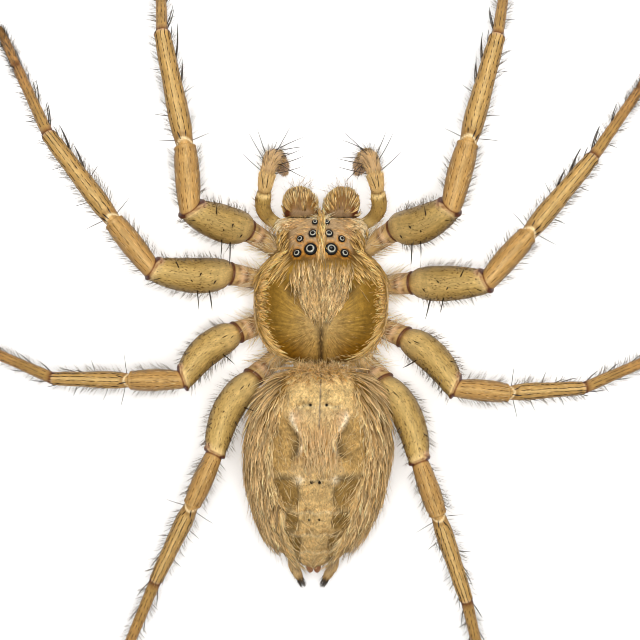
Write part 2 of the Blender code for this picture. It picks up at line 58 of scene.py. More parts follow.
# Carapace
FRONT_Y = -4.475
REAR_Y = 2.79
WIDEST_Y = -0.40
HALF_WIDTH = 3.41
FRONT_REACH = 2.90
REAR_REACH = 3.20
FRONT_ROUNDNESS = 2.3
REAR_ROUNDNESS = 2.6
HEAD_HALF_WIDTH = 2.18
HEAD_CORNER = 0.40
MARGIN_Z = 3.05
LIP = 0.11
CROWN_RISE = 2.40
CROWN_Y = -1.50
FRONT_DROP = 0.50
PEDICEL_Z = 2.78
PEDICEL_RADIUS = 0.34
STERNUM_HALF = (
    (-4.48, 0.85), (-3.4, 0.85), (-2.7, 0.72), (-2.0, 0.88),
    (-1.0, 1.06), (0.3, 1.00), (1.5, 0.74), (2.8, 0.40),
)
UNDERSIDE_Z = (
    (-4.48, 2.86), (-3.4, 2.00), (-2.5, 1.66), (0.0, 1.60), (1.5, 1.72), (2.1, 2.15), (2.8, 2.62),
)
FOVEA = (0.03, 1.00)
# The groove from the side of the neck to the fovea, on either side
GROOVE = np.array([[2.25, -1.75], [0.25, 0.75]])
# Half width of the wedge of hair behind the eyes
WEDGE_HALF = ((-2.7, 1.25), (-2.0, 1.38), (-0.5, 1.08), (0.25, 0.62), (0.7, 0.15))

# Abdomen
ABDOMEN_FRONT_Y = 2.90
ABDOMEN_WIDEST_Y = 7.10
ABDOMEN_TIP_Y = 12.95
ABDOMEN_HALF_WIDTH = 3.66
ABDOMEN_SLENDER = 0.80
ABDOMEN_Z = ((2.8, 3.86), (4.5, 4.10), (7.1, 4.20), (10.5, 3.75), (13.2, 3.05))
ABDOMEN_LEAN = 0.038
# Half width of the pale band down the abdomen's back: shoulders, waist, and a scalloped column
BAND_HALF = (
    (2.8, 0.9), (3.6, 1.55), (4.6, 1.62), (5.1, 1.45), (5.6, 1.42), (6.0, 1.17), (6.3, 0.93), (6.58, 0.86),
    (6.9, 0.90), (7.3, 1.04), (7.75, 1.28), (8.05, 1.36), (8.3, 1.02), (8.55, 0.96), (8.95, 0.80),
    (9.6, 0.80), (9.95, 1.02), (10.15, 1.02), (10.35, 0.86), (10.9, 0.84), (11.15, 0.98), (11.4, 0.72),
    (12.2, 0.70), (12.8, 0.5), (13.1, 0.3),
)
# How far from the middle line the long coat of the flanks starts
FLANK_START = (
    (2.8, 0.9), (3.35, 1.45), (4.5, 1.80), (5.3, 2.10), (6.1, 2.42), (7.1, 2.42), (8.5, 2.25), (9.8, 1.83),
    (10.15, 1.92), (11.45, 1.35), (12.3, 1.20), (12.7, 0.80), (13.1, 0.45),
)
# Pairs of dark dots: distance from the middle of the pair, Y, radius
DOTS = ((0.40, 4.80, 0.085), (0.20, 8.62, 0.10), (0.24, 10.50, 0.07))
DOT_SHIFT = 0.05
# Dark blocks beside the column: first and last Y, inner and outer distance from the middle line
BLOCKS = ((8.50, 9.85, 0.92, 2.15), (10.22, 11.00, 0.88, 1.85), (11.35, 12.35, 0.72, 1.45))
# Folds across the band: Y and width
SEAMS = ((4.72, 0.06), (8.36, 0.05), (9.98, 0.07), (11.12, 0.06), (12.0, 0.05))

# Chelicera: height, middle in Y, half width, half depth, from the top down
CHELICERA_X = 1.03
CHELICERA_ROWS = (
    (4.04, -5.10, 0.22, 0.16), (3.96, -5.12, 0.50, 0.40), (3.70, -5.17, 0.75, 0.66),
    (3.30, -5.20, 0.87, 0.80), (2.75, -5.22, 0.86, 0.84), (2.20, -5.12, 0.76, 0.74),
    (1.75, -5.00, 0.60, 0.57), (1.45, -4.92, 0.42, 0.40), (1.32, -4.88, 0.22, 0.22),
)
BACK_POWER = 0.5
OUTER_POWER = 0.85
INNER_POWER = 1.1
INNER_SHARE = 1.14
INNER_LEAN = 0.25
FANG_PATH = ((0.98, -5.05, 1.75), (0.92, -4.86, 1.22), (0.66, -4.62, 1.02), (0.36, -4.45, 1.05))
FANG_RADIUS = ((0.0, 0.25), (0.4, 0.24), (0.75, 0.14), (1.0, 0.03))

# Palp
PALP_PATH = (
    (1.60, -3.95, 2.42), (2.12, -4.18, 2.50), (2.62, -4.52, 2.86), (2.90, -5.08, 3.62), (2.84, -5.65, 4.20),
    (2.66, -6.70, 4.50), (2.46, -7.34, 4.10), (2.26, -7.46, 3.45), (2.00, -7.16, 2.75), (1.80, -6.72, 2.25),
)
PALP_RADIUS = (
    (0.0, 0.28), (0.10, 0.33), (0.30, 0.40), (0.42, 0.40), (0.46, 0.37), (0.56, 0.43), (0.63, 0.41),
    (0.72, 0.49), (0.84, 0.42), (0.94, 0.32), (1.0, 0.14),
)
PALP_KNEE, PALP_WRIST, PALP_TARSUS = 4, 5, 7
KNEE_SHIFT = 0.028
PALP_PARTS = 3

# Spinnerets
SPINNERET_PATH = ((1.04, 12.55, 2.10), (0.98, 12.91, 2.16), (0.76, 13.35, 2.22), (0.58, 13.69, 2.26))
SPINNERET_RADIUS = ((0.0, 0.26), (0.5, 0.26), (0.8, 0.20), (1.0, 0.10))
LOBE_X = 0.19
LOBE_RADIUS = 0.19
LOBE_Y = 12.75
LOBE_Z = 2.85
LOBE_RUN = (-0.02, 0.50, -0.05)


@dataclass
class Pair:
    """True lengths and half widths of one pair of legs."""

    femur: float
    patella: float
    tibia: float
    metatarsus: float
    tarsus: float
    femur_half: float
    patella_half: float
    tibia_half: float


PAIRS = {
    1: Pair(5.43, 3.30, 5.90, 5.00, 2.75, 0.95, 0.64, 0.53),
    2: Pair(5.25, 3.06, 5.60, 4.80, 2.60, 0.90, 0.60, 0.49),
    3: Pair(4.83, 2.75, 4.10, 4.60, 2.40, 0.82, 0.55, 0.43),
    4: Pair(5.67, 2.90, 4.75, 5.60, 2.60, 0.79, 0.53, 0.44),
}


@dataclass
class Stance:
    """Where a leg leaves the sternum, where its femur starts, and how its parts point.

    A heading is counted in degrees from straight ahead towards the leg's own side, and a rise in
    degrees up from level. The sweep is how far the femur bulges to the rear between its ends.
    """

    pair: int
    side: int
    root: tuple
    femur_base: tuple
    femur: tuple
    patella: tuple
    tibia: tuple
    metatarsus_heading: float
    tarsus_heading: float
    sweep: float


STANCES = {
    "left_1": Stance(
        1, 1, (1.14, -2.32), (3.73, -3.93), (70.0, 57.6), (5.0, -19.9), (11.6, -10.0), 3.0, 1.0, 0.14
    ),
    "right_1": Stance(
        1, -1, (1.14, -2.32), (3.73, -3.93), (67.8, 57.8), (15.3, -11.0), (15.7, -18.8), 9.9, 5.2, 0.26
    ),
    "left_2": Stance(
        2, 1, (1.40, -1.08), (4.63, -1.73), (86.4, 43.8), (38.8, -11.7), (37.2, -12.7), 26.0, 25.8, 0.22
    ),
    "right_2": Stance(
        2, -1, (1.40, -1.02), (4.64, -1.26), (88.6, 46.8), (41.5, -6.5), (40.4, -23.9), 35.3, 33.3, 0.08
    ),
    "left_3": Stance(
        3, 1, (1.38, 0.22), (4.29, 1.24), (131.3, 43.7), (91.3, -21.2), (88.7, -17.8), 67.2, 68.5, -0.28
    ),
    "right_3": Stance(
        3, -1, (1.38, 0.26), (4.24, 1.48), (134.9, 43.2), (95.8, -20.9), (86.5, -20.3), 67.4, 69.3, -0.25
    ),
    "left_4": Stance(
        4, 1, (1.06, 1.50), (3.43, 3.50), (153.7, 42.1), (155.9, -20.5), (154.3, -24.9), 157.2, 151.5, -0.38
    ),
    "right_4": Stance(
        4, -1, (1.06, 1.52), (3.15, 3.70), (156.2, 40.2), (160.8, -18.2), (161.4, -16.0), 166.6, 171.2, -0.37
    ),
}
ROOT_Z = 2.12
FEMUR_BASE_Z = 2.48
ANKLE_Z = 1.35
TOE_Z = 0.15
TOE_LENGTH = 0.50
JOINT_GAP = 0.10
COXA_HALF = 0.55
TROCHANTER_HALF = 0.60
FEMUR_BOW = 0.10
METATARSUS_HALF = 0.28
TARSUS_HALF = 0.25
TOE_HALF = 0.17
# Half widths along a part of a leg, as shares of its length and, but for the coxa, of its widest place
COXA_SIZES = ((0.0, 0.92 * COXA_HALF), (0.35, COXA_HALF), (0.62, 0.95 * COXA_HALF), (1.0, TROCHANTER_HALF))
FEMUR_SIZES = ((0.0, 0.66), (0.05, 0.80), (0.14, 0.92), (0.38, 1.0), (0.75, 0.88), (1.0, 0.70))
PATELLA_SIZES = ((0.0, 0.86), (0.45, 1.0), (0.85, 0.94), (1.0, 0.86))
TIBIA_SIZES = ((0.0, 0.84), (0.14, 1.0), (0.6, 0.92), (0.92, 0.84), (1.0, 0.78))
JOINT_WAIST = 0.84
CLAW_RADIUS = ((0.0, 0.035), (0.5, 0.028), (1.0, 0.006))
CLAW_Z = 0.17
# A claw's points: how far ahead of its root, and how much higher or lower
CLAW_BEND = ((0.0, 0.0), (0.14, 0.03), (0.26, -0.05), (0.30, -0.13))

# Spines of the first two pairs of legs: place along the leg in parts, turn from the top towards the front,
# length, half width, lift, lean to the side
FRONT_BRISTLES = (
    (1.33, -0.17, 1.35, 0.044, 1.30, 0.0), (1.50, -0.16, 1.15, 0.036, 1.35, 0.0),
    (1.30, -0.05, 0.34, 0.040, 0.40, 0.5), (1.52, 0.03, 0.34, 0.050, 0.40, 0.7),
    (1.60, -0.06, 0.30, 0.050, 0.40, -0.7), (1.76, 0.06, 0.60, 0.036, 0.40, -1.2),
    (1.88, -0.10, 0.40, 0.024, 0.30, 0.4), (3.035, -0.05, 0.50, 0.052, 0.14, 0.15),
    (3.07, 0.05, 0.38, 0.046, 0.16, -0.15), (3.02, -0.12, 0.42, 0.050, 0.16, 0.25),
    (3.55, 0.30, 1.30, 0.050, 0.27, 0.0), (3.57, 0.22, 1.15, 0.036, 0.30, 0.0),
    (3.74, 0.30, 1.75, 0.052, 0.24, 0.0), (3.76, 0.22, 1.35, 0.036, 0.30, 0.0),
    (3.93, 0.24, 0.70, 0.030, 0.25, 0.0), (4.05, 0.29, 1.65, 0.046, 0.26, 0.0),
    (4.07, 0.20, 1.30, 0.034, 0.30, 0.0), (4.30, 0.28, 1.35, 0.042, 0.26, 0.0),
    (4.32, 0.19, 0.95, 0.028, 0.25, 0.0), (4.50, 0.26, 0.70, 0.026, 0.30, 0.0),
)
# The same for the last two pairs
REAR_BRISTLES = (
    (1.42, -0.16, 1.35, 0.036, 1.10, -0.5), (1.16, -0.02, 0.42, 0.034, 0.15, 0.1),
    (1.24, 0.01, 0.62, 0.034, 0.14, 0.0), (1.62, -0.14, 0.40, 0.024, 0.60, 0.8),
    (1.74, 0.12, 0.45, 0.026, 0.35, -0.8), (1.80, -0.16, 0.50, 0.024, 0.60, 0.5),
    (3.03, -0.04, 0.48, 0.050, 0.14, 0.2), (3.05, 0.06, 0.38, 0.044, 0.16, -0.3),
    (3.30, -0.18, 0.40, 0.024, 0.30, 0.3), (3.62, 0.22, 0.60, 0.026, 0.30, 0.0),
    (3.70, 0.26, 1.00, 0.030, 0.20, 0.0), (3.92, -0.22, 0.60, 0.028, 0.30, 0.0),
    (4.04, 0.26, 1.00, 0.034, 0.30, 0.0), (4.05, -0.26, 0.95, 0.034, 0.30, 0.0),
    (4.22, 0.26, 0.95, 0.030, 0.25, 0.0), (4.25, -0.26, 0.90, 0.030, 0.25, 0.0),
    (4.42, 0.25, 0.70, 0.026, 0.25, 0.0), (4.46, -0.25, 0.70, 0.026, 0.25, 0.0),
)
# Long fine feeling hairs on every leg: place along it, turn from the top, length
FEELERS = (
    (3.04, 0.24, 1.10), (3.06, -0.24, 1.20), (3.28, -0.24, 0.80),
    (3.45, 0.24, 0.75), (3.68, -0.24, 0.65), (4.15, -0.24, 0.60),
)

# Eyes on one side: name, distance from the middle line, Y, radius
EYES = (
    ("front", 0.29, -4.285, 0.155),
    ("middle", 0.395, -3.70, 0.225),
    ("small_side", 1.035, -3.44, 0.185),
    ("large", 0.515, -2.925, 0.315),
    ("rear_side", 1.18, -2.72, 0.225),
)
HEAD_MIDDLE_X = 0.005

# How deep the skin lies inside the solids, which keep the outline of the coat
SHELL_DEPTH = 0.03
FLANK_DEPTH = 0.16
BAND_DEPTH = 0.05
LIMB_DEPTH = 0.02
HOLLOW_DEPTH = 0.24
BLOCK_DEPTH = 0.20

# The coat: the lowest a hair may hang, the size of its patch on the bake map, and the warmer tint
# of the painted shade at its root
FLOOR_CLEARANCE = 0.03
HAIR_PATCH = 0.003
ROOT_SHADE_TINT = np.array([1.0, 0.86, 0.66])
LOCK_PROFILE = (0.7, 1.0, 0.9, 0.6, 0.0)

# Camera and lamps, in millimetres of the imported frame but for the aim, and the lamps' power in watts
CAMERA_HEIGHT = 303.0
VIEW_WIDTH = 32.0
VIEW_Z = 3.0
AIM = (0.05, 0.60)
SENSOR = 36.0
FLOOR_REACH = 400.0
WORLD_LIGHT = 0.32
LAMPS = (("overhead", (0.0, 0.0, 260.0), 100.0, 0.53), ("front", (-60.0, -180.0, 150.0), 90.0, 0.14))

# Colours, linear red, green and blue: the skin's
OLIVE = np.array([0.36, 0.20, 0.030])
DEEP_OLIVE = np.array([0.15, 0.070, 0.006])
REAR_OLIVE = np.array([0.23, 0.098, 0.0])
SPOT = np.array([0.07, 0.04, 0.006])
LILAC = np.array([0.44, 0.29, 0.15])
AMBER = np.array([0.66, 0.27, 0.03])
FOVEA_DARK = np.array([0.035, 0.018, 0.008])
RIM = np.array([0.95, 0.70, 0.36])
BROWN = np.array([0.20, 0.095, 0.022])
# Painted shade: the skin under the flank coat, dark for the shadow in the coat's gaps
COAT_GAP_SHADE = np.array([0.27, 0.14, 0.025])
FIELD = np.array([0.72, 0.50, 0.21])
BAND = np.array([0.62, 0.43, 0.20])
BAND_EDGE = np.array([1.0, 0.82, 0.54])
SHOULDER_PINK = np.array([0.84, 0.53, 0.31])
WAIST = np.array([0.36, 0.19, 0.05])
HOLLOW = np.array([0.25, 0.155, 0.052])
BLOCK = np.array([0.29, 0.17, 0.045])
COLUMN = np.array([0.62, 0.41, 0.165])
BELLY = np.array([0.56, 0.38, 0.16])
BARE_BROWN = np.array([0.36, 0.23, 0.12])
RED_BROWN = np.array([0.11, 0.025, 0.008])
PALP_TAN = np.array([0.56, 0.35, 0.16])
PALP_PINK = np.array([0.60, 0.38, 0.22])
SPINNERET_TAN = np.array([0.50, 0.33, 0.14])
LOBE_BROWN = np.array([0.30, 0.13, 0.06])
COXA_TAN = np.array([0.56, 0.36, 0.14])
FEMUR_TAN = np.array([0.50, 0.315, 0.088])
FEMUR_PALE = np.array([0.63, 0.44, 0.165])
ORANGE_TAN = np.array([0.54, 0.295, 0.085])
TIBIA_TAN = np.array([0.50, 0.285, 0.080])
FOOT_TAN = np.array([0.50, 0.25, 0.075])
MEMBRANE = np.array([0.68, 0.42, 0.22])
CONDYLE = np.array([0.09, 0.022, 0.006])
LIP_PALE = np.array([0.90, 0.64, 0.27])

# The hair's
GOLD = np.array([0.78, 0.47, 0.13])
PALE = np.array([1.0, 0.80, 0.46])
STRAW = np.array([0.86, 0.58, 0.24])
FLUFF = np.array([1.0, 0.90, 0.68])
FLUFF_TAN = np.array([0.75, 0.63, 0.47])
WARM_PALE = np.array([0.95, 0.72, 0.41])
WAIST_PALE = np.array([0.90, 0.65, 0.36])
FLANK_TAN = np.array([0.66, 0.42, 0.17])
FLANK_PALE = np.array([0.95, 0.71, 0.39])
SIDE_GOLD = np.array([0.95, 0.66, 0.27])
FRONT_BROWN = np.array([0.72, 0.42, 0.17])
FRONT_PALE = np.array([1.0, 0.72, 0.38])
COMB_GOLD = np.array([0.95, 0.60, 0.18])
COMB_PALE = np.array([0.96, 0.70, 0.34])
PALP_HAIR = np.array([0.86, 0.62, 0.42])
GREY_HAIR = np.array([0.16, 0.145, 0.13])
DARK_HAIR = np.array([0.030, 0.020, 0.012])


def unit(vector):
    """The vector at length 1."""
    return vector / np.maximum(np.linalg.norm(vector, axis=-1, keepdims=True), 1e-12)


def smooth_step(low, high, x):
    """0 below low, 1 above high, and 3t^2 - 2t^3 between them."""
    t = np.clip((x - low) / (high - low), 0.0, 1.0)
    return t * t * (3 - 2 * t)


def bell(x, middle, width):
    """1 at the middle, falling off as the exponential of minus the squared distance over the width."""
    return np.exp(-(((x - middle) / width) ** 2))


def blend(first, second, share):
    """The first colour where the share is 0, the second where it is 1."""
    share = np.asarray(share)[..., None]
    return first * (1 - share) + second * share


def between(x, start, first, last, end):
    """1 from first to last, falling in smooth steps to 0 at start and at end."""
    return smooth_step(start, first, x) * smooth_step(end, last, x)


def patch(x, y, middle, size):
    """A round or oval patch: a bell of the distance from its middle, in its own half widths."""
    return bell(np.hypot((x - middle[0]) / size[0], (y - middle[1]) / size[1]), 0.0, 1.0)


def painted(points, base, *coats):
    """The base colour at every point, with each coat (colour, share) blended over it in turn."""
    colour = np.broadcast_to(base, points.shape)
    for tint, share in coats:
        colour = blend(colour, tint, share)
    return colour


def wide(*vectors):
    """Vectors from columns of x, y and z."""
    return np.stack(np.broadcast_arrays(*vectors), axis=-1)


def eased(stations, at):
    """The smooth curve through the stations (place, value, ...), each value a cubic with centred slopes."""
    table = np.array(stations, dtype=float)
    place = table[:, 0]
    value = table[:, 1:]
    slope = np.gradient(value, place, axis=0)
    at = np.clip(np.asarray(at, dtype=float), place[0], place[-1])
    shape = at.shape
    at = at.ravel()
    k = np.clip(np.searchsorted(place, at, side="right") - 1, 0, len(place) - 2)
    step = (place[k + 1] - place[k])[:, None]
    t = (at - place[k])[:, None] / step
    start = (1 + 2 * t) * (1 - t) ** 2 * value[k] + t * (1 - t) ** 2 * step * slope[k]
    end = t**2 * (3 - 2 * t) * value[k + 1] + t**2 * (t - 1) * step * slope[k + 1]
    result = start + end
    return result[:, 0].reshape(shape) if result.shape[1] == 1 else result.reshape(*shape, -1)


def run_along(points):
    """The length of the straight runs from a path's first point to each of its points."""
    return np.concatenate([[0.0], np.cumsum(np.linalg.norm(np.diff(points, axis=0), axis=1))])


def chord_shares(points):
    """The share of the whole chord length that each point of a path lies at."""
    run = run_along(np.array(points))
    return run / run[-1]


def smooth_path(points, count):
    """A smooth curve through the points, at equal steps of their chord length."""
    points = np.array(points, dtype=float)
    return eased(np.column_stack([chord_shares(points), points]), np.linspace(0.0, 1.0, count))


def direction(side, heading, rise):
    """The unit vector at this heading and rise, in degrees, on the side +1 (left) or -1 (right)."""
    turn = math.radians(heading)
    tilt = math.radians(rise)
    level = math.cos(tilt)
    return np.array([side * math.sin(turn) * level, -math.cos(turn) * level, math.sin(tilt)])


def mirrored(points, side):
    """The points of the left side, or their mirror image for side -1."""
    return np.array(points, dtype=float) * np.array([side, 1.0, 1.0])


def to_frame(points):
    """Millimetres from the middle of the carapace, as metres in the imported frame."""
    return (np.asarray(points) - BOX_MIDDLE) * MM


def over_rings(values, rings):
    """One value a ring, spread over the points of the ring."""
    return values[:, None] * np.ones(rings.shape[:2])


def outward_normals(rings):
    """Each point's unit normal, turned outwards, and whether the grid's own order points inwards."""
    crosswise = np.roll(rings, -1, axis=1) - np.roll(rings, 1, axis=1)
    normal = unit(np.cross(np.gradient(rings, axis=0), crosswise))
    flipped = np.sum(normal * (rings - rings.mean(axis=1, keepdims=True)), axis=-1).sum() < 0
    return (-normal if flipped else normal), flipped


class Hide:
    """A stretch of skin: rings of points, closed round each ring, with the place of each ring along it.

    Places between the grid's points are bilinear. `along` is the ring's own coordinate, such as
    1.5 for the middle of a leg's second part. `finish` names its material, and `tint` is its colour.
    """

    def __init__(self, rings, along, finish, tint):
        self.rings = rings
        self.along = np.asarray(along, dtype=float)
        self.finish = finish
        self.tint = tint
        self.normals, self.flipped = outward_normals(rings)
        self.lengthwise = unit(np.gradient(rings, axis=0))

    def places(self):
        """x, y and z at every point of the grid."""
        return np.moveaxis(self.rings, -1, 0)

    def parts(self):
        """The place along the stretch, at every point of the grid."""
        return over_rings(self.along, self.rings)

    def spots(self, rows, columns):
        """Point, outward normal and lengthwise direction at these fractional rows and columns."""
        size = self.rings.shape[1]
        i = np.clip(rows.astype(int), 0, len(self.rings) - 2)
        j = np.floor(columns).astype(int)
        a = (rows - i)[:, None]
        b = (columns - j)[:, None]
        j0 = j % size
        j1 = (j + 1) % size
        found = []
        for field in (self.rings, self.normals, self.lengthwise):
            near = field[i, j0] * (1 - b) + field[i, j1] * b
            far = field[i + 1, j0] * (1 - b) + field[i + 1, j1] * b
            found.append(near * (1 - a) + far * a)
        return found[0], unit(found[1]), unit(found[2])

    def scatter(self, count, density):
        """Random fractional rows and columns, as many to the area as the density at each grid point says."""
        lengthwise = np.linalg.norm(np.diff(self.rings, axis=0), axis=-1)
        crosswise = np.linalg.norm(np.roll(self.rings, -1, axis=1) - self.rings, axis=-1)[:-1]
        chance = (lengthwise * crosswise * density[:-1]).ravel()
        chosen = rng.choice(len(chance), count, p=chance / chance.sum())
        row, column = np.divmod(chosen, self.rings.shape[1])
        return row + rng.random(count), column + rng.random(count)


def sunk(rings, depth):
    """The rings moved inwards along their normals by the depth."""
    normals, _ = outward_normals(rings)
    return rings - normals * np.broadcast_to(depth, rings.shape[:2])[..., None]


def tube(path, half_width, half_height, start_normal=None, end_normal=None, sides=20):
    """Rings of oval section square to a path.

    A point of a ring is path + half_width cos(a) side + half_height sin(a) up. Towards an end
    that has a joint plane, the rings slide along the path until the last one lies in it. The
    angle starts underneath, where the rings' seam is out of sight.
    """
    axis = unit(np.gradient(path, axis=0))
    side = unit(np.cross(axis, UPWARDS))
    up = np.cross(side, axis)
    angle = np.arange(sides) * 2 * math.pi / sides - math.pi / 2
    width = np.broadcast_to(half_width, len(path))[:, None, None]
    height = np.broadcast_to(half_height, len(path))[:, None, None]
    offset = width * np.cos(angle)[None, :, None] * side[:, None, :]
    offset = offset + height * np.sin(angle)[None, :, None] * up[:, None, :]
    run = run_along(path)
    rings = path[:, None, :] + offset
    for normal, distance in ((start_normal, run), (end_normal, run[-1] - run)):
        if normal is None:
            continue
        fade = 1 - smooth_step(0.0, min(3.2 * float(np.max(width)), 0.48 * run[-1]), distance)
        slide = -(offset @ normal) / (axis @ normal)[:, None]
        rings = rings + (fade[:, None] * slide)[..., None] * axis[:, None, :]
    return rings


def carapace_half_width(y):
    """Half width of the carapace at y: an oval thorax joined to a head with parallel sides.

    Each end of the oval is half (1 - share^power)^(1/power), the head's corners are round, and the
    two are joined as the 12th root of the sum of their 12th powers.
    """
    ahead = y < WIDEST_Y
    power = np.where(ahead, FRONT_ROUNDNESS, REAR_ROUNDNESS)
    share = np.clip(np.abs(y - WIDEST_Y) / np.where(ahead, FRONT_REACH, REAR_REACH), 0.0, 1.0)
    oval = HALF_WIDTH * (1 - share**power) ** (1 / power)
    into_corner = np.clip((FRONT_Y + HEAD_CORNER - y) / HEAD_CORNER, 0.0, 1.0)
    head = HEAD_HALF_WIDTH - HEAD_CORNER * (1 - np.sqrt(1 - into_corner**2))
    head = head * np.clip((-1.0 - y) / 1.4, 0.0, 1.0)
    return (oval**12 + head**12) ** (1 / 12)


def carapace_rise(y):
    """Height of the middle line over the margin: level at the crown, lower ahead, round at the rear."""
    ahead = np.clip((CROWN_Y - y) / (CROWN_Y - FRONT_Y), 0.0, 1.0)
    behind = np.clip(y / REAR_Y, 0.0, 1.0)
    return CROWN_RISE * (1 - FRONT_DROP * ahead**2.5) * (1 - behind**2.2) ** 0.6


def groove_distance(x, y):
    """How far a place on the carapace is from the nearer of the two neck grooves."""
    start, end = GROOVE
    run = end - start
    t = np.clip(((np.abs(x) - start[0]) * run[0] + (y - start[1]) * run[1]) / (run @ run), 0.0, 1.0)
    return np.hypot(np.abs(x) - start[0] - t * run[0], y - start[1] - t * run[1])


def eye_distance(x, y, eye_x, eye_y):
    """How far a place on the head is from the nearer of a pair of eyes."""
    return np.hypot(np.abs(x - HEAD_MIDDLE_X) - eye_x, y - eye_y)


def carapace_relief(x, y):
    """Height over the plain dome: the fovea's slit, the neck grooves, furrows that radiate, eye mounds."""
    slit = bell(x, FOVEA[0], 0.07) * between(y, 0.5, 1.1, 2.5, 2.78)
    neck = bell(groove_distance(x, y), 0.0, 0.22) * smooth_step(-2.2, -1.0, y)
    reach = np.hypot(x - FOVEA[0], y - FOVEA[1])
    turn = np.arctan2(x - FOVEA[0], y - FOVEA[1])
    furrow = bell(np.sin(2.5 * np.abs(turn) + 0.4), 0.0, 0.35) * between(reach, 0.4, 1.0, 2.2, 3.2)
    mound = sum(bell(np.hypot(np.abs(x) - ex, y - ey), 0.0, 1.3 * r) * 0.3 * r for _, ex, ey, r in EYES)
    return mound - 0.13 * slit - 0.08 * neck - 0.035 * furrow * smooth_step(-1.5, 0.0, y)


def front_body():
    """Head and thorax: a domed carapace, its overhanging margin, the sternum under it, and the stalk behind.

    The dome at y is x = half cos(a), z = margin + rise sin(a), both to a power that falls from 1 at
    the face to 0.7 behind the neck. Under the margin, straight runs join six named corners.
    """
    rows = np.linspace(0.0, 1.0, 112)
    y = FRONT_Y + (REAR_Y - FRONT_Y) * np.sin(rows * math.pi / 2) ** 0.9
    y = np.concatenate([FRONT_Y + 0.02 * np.array([0.0, 0.4]), y[y > FRONT_Y + 0.02]])
    half = np.maximum(carapace_half_width(y), np.where(y > 0, 1.45, 0.0))[:, None]
    rise = np.maximum(carapace_rise(y), 0.10)[:, None]
    core = eased(STERNUM_HALF, y)[:, None]
    under = eased(UNDERSIDE_Z, y)[:, None]
    power = 1.0 - 0.30 / (1 + np.exp((-2.2 - y) / 0.25))[:, None]
    angle = np.linspace(0.0, math.pi, 83)[None, :]
    dome_x = half * np.sign(np.cos(angle)) * np.abs(np.cos(angle)) ** power
    dome_z = MARGIN_Z + rise * np.abs(np.sin(angle)) ** power
    dome_z = dome_z + carapace_relief(dome_x, y[:, None]) * smooth_step(0.0, 0.5, np.sin(angle))
    lip_z = np.full_like(under, MARGIN_Z - LIP)
    bevel_z = under + 0.3 * np.minimum(1.0, (lip_z - under) / 0.6)
    corner_x = np.hstack([0 * core, 0.7 * core, core, core, 0.975 * half, half])
    corner_z = np.hstack([under, under, bevel_z, lip_z - 0.02, lip_z, np.full_like(under, MARGIN_Z)])
    step = np.linspace(0.0, 5.0, 21)[None, :, None]
    share = np.clip(1 - np.abs(step - np.arange(6)), 0.0, 1.0)
    low_x = (share * corner_x[:, None, :]).sum(axis=-1)
    low_z = (share * corner_z[:, None, :]).sum(axis=-1)
    x = np.hstack([low_x[:, :-1], dome_x, -low_x[:, -2:0:-1]])
    z = np.hstack([low_z[:, :-1], dome_z, low_z[:, -2:0:-1]])
    rings = sunk(wide(x, y[:, None], z), SHELL_DEPTH)
    face = rings[0].mean(axis=0)
    closing = [
        face + (rings[0] - face) * share - 0.02 * (1 - share) * REARWARDS
        for share in (0.02, 0.4, 0.75, 0.94)
    ]
    stalk_centre = np.array([0.0, REAR_Y, PEDICEL_Z])
    stalk = unit(rings[-1] - rings[-1].mean(axis=0)) * PEDICEL_RADIUS + stalk_centre
    tail = [stalk + reach * REARWARDS for reach in (0.0, 0.1, 0.3)]
    rings = np.concatenate([np.array(closing), rings, np.array(tail)])
    return Hide(rings, np.arange(len(rings)), "carapace_shell", carapace_tint(rings))


def carapace_tint(points):
    """The carapace's colour under its hair, with painted shade under the head's hair and partly towards the
    margin.
    """
    x, y, z = np.moveaxis(points, -1, 0)
    out = np.abs(x)
    reach = np.hypot(x - FOVEA[0], y - FOVEA[1])
    edge = carapace_half_width(y) - out
    colour = painted(
        points,
        OLIVE,
        # Darker olive towards the margin: partly the shell's own tone, partly painted shade
        (DEEP_OLIVE, 0.65 * bell(edge, 0.90, 0.55)),
        (REAR_OLIVE, 0.9 * smooth_step(1.0, 2.2, y) * smooth_step(0.3, 1.2, out)),
        (STRAW * 0.62, 0.70 * bell(reach, 0.2, 1.05)),
        (GOLD * 0.8, 0.65 * patch(out, y, (0.42, 2.1), (0.30, 0.65))),
        # Painted shade: the head's skin is darker brown under its hair, for the gaps between the locks
        (BROWN * 0.6, 0.9 * smooth_step(-1.9, -2.5, y)),
        (LILAC, smooth_step(-2.55, -3.0, y) * smooth_step(1.75, 1.35, out)),
    )
    for _, eye_x, eye_y, radius in EYES[2:]:
        halo = bell(eye_distance(x, y, eye_x, eye_y), 1.05 * radius, 0.28 * radius)
        colour = blend(colour, AMBER, np.clip(halo, 0.0, 0.75))
    for _, eye_x, eye_y, radius in EYES:
        socket = smooth_step(1.22, 1.02, eye_distance(x, y, eye_x, eye_y) / radius)
        colour = blend(colour, FOVEA_DARK, 0.85 * socket)
    slit = bell(x, FOVEA[0], 0.05) * between(y, 0.6, 1.2, 2.6, 2.9)
    sides = smooth_step(-2.6, -1.6, y)
    return painted(
        points,
        colour,
        (SPOT, 0.80 * patch(out, y, (1.48, -1.0), (0.28, 0.45))),
        (DEEP_OLIVE, 0.6 * bell(groove_distance(x, y), 0.0, 0.13) * smooth_step(-2.0, -1.0, y)),
        (FOVEA_DARK, np.clip(1.3 * slit, 0.0, 1.0)),
        (RIM, smooth_step(0.15, 0.06, edge) * smooth_step(-3.4, -1.6, y)),
        (DEEP_OLIVE, 0.6 * bell(edge, 0.17, 0.04) * sides),
        (GOLD * 0.60, 0.8 * bell(edge, 0.30, 0.10) * sides),
        (COXA_TAN * 0.8, smooth_step(MARGIN_Z - 0.02, MARGIN_Z - 0.12, z)),
    )


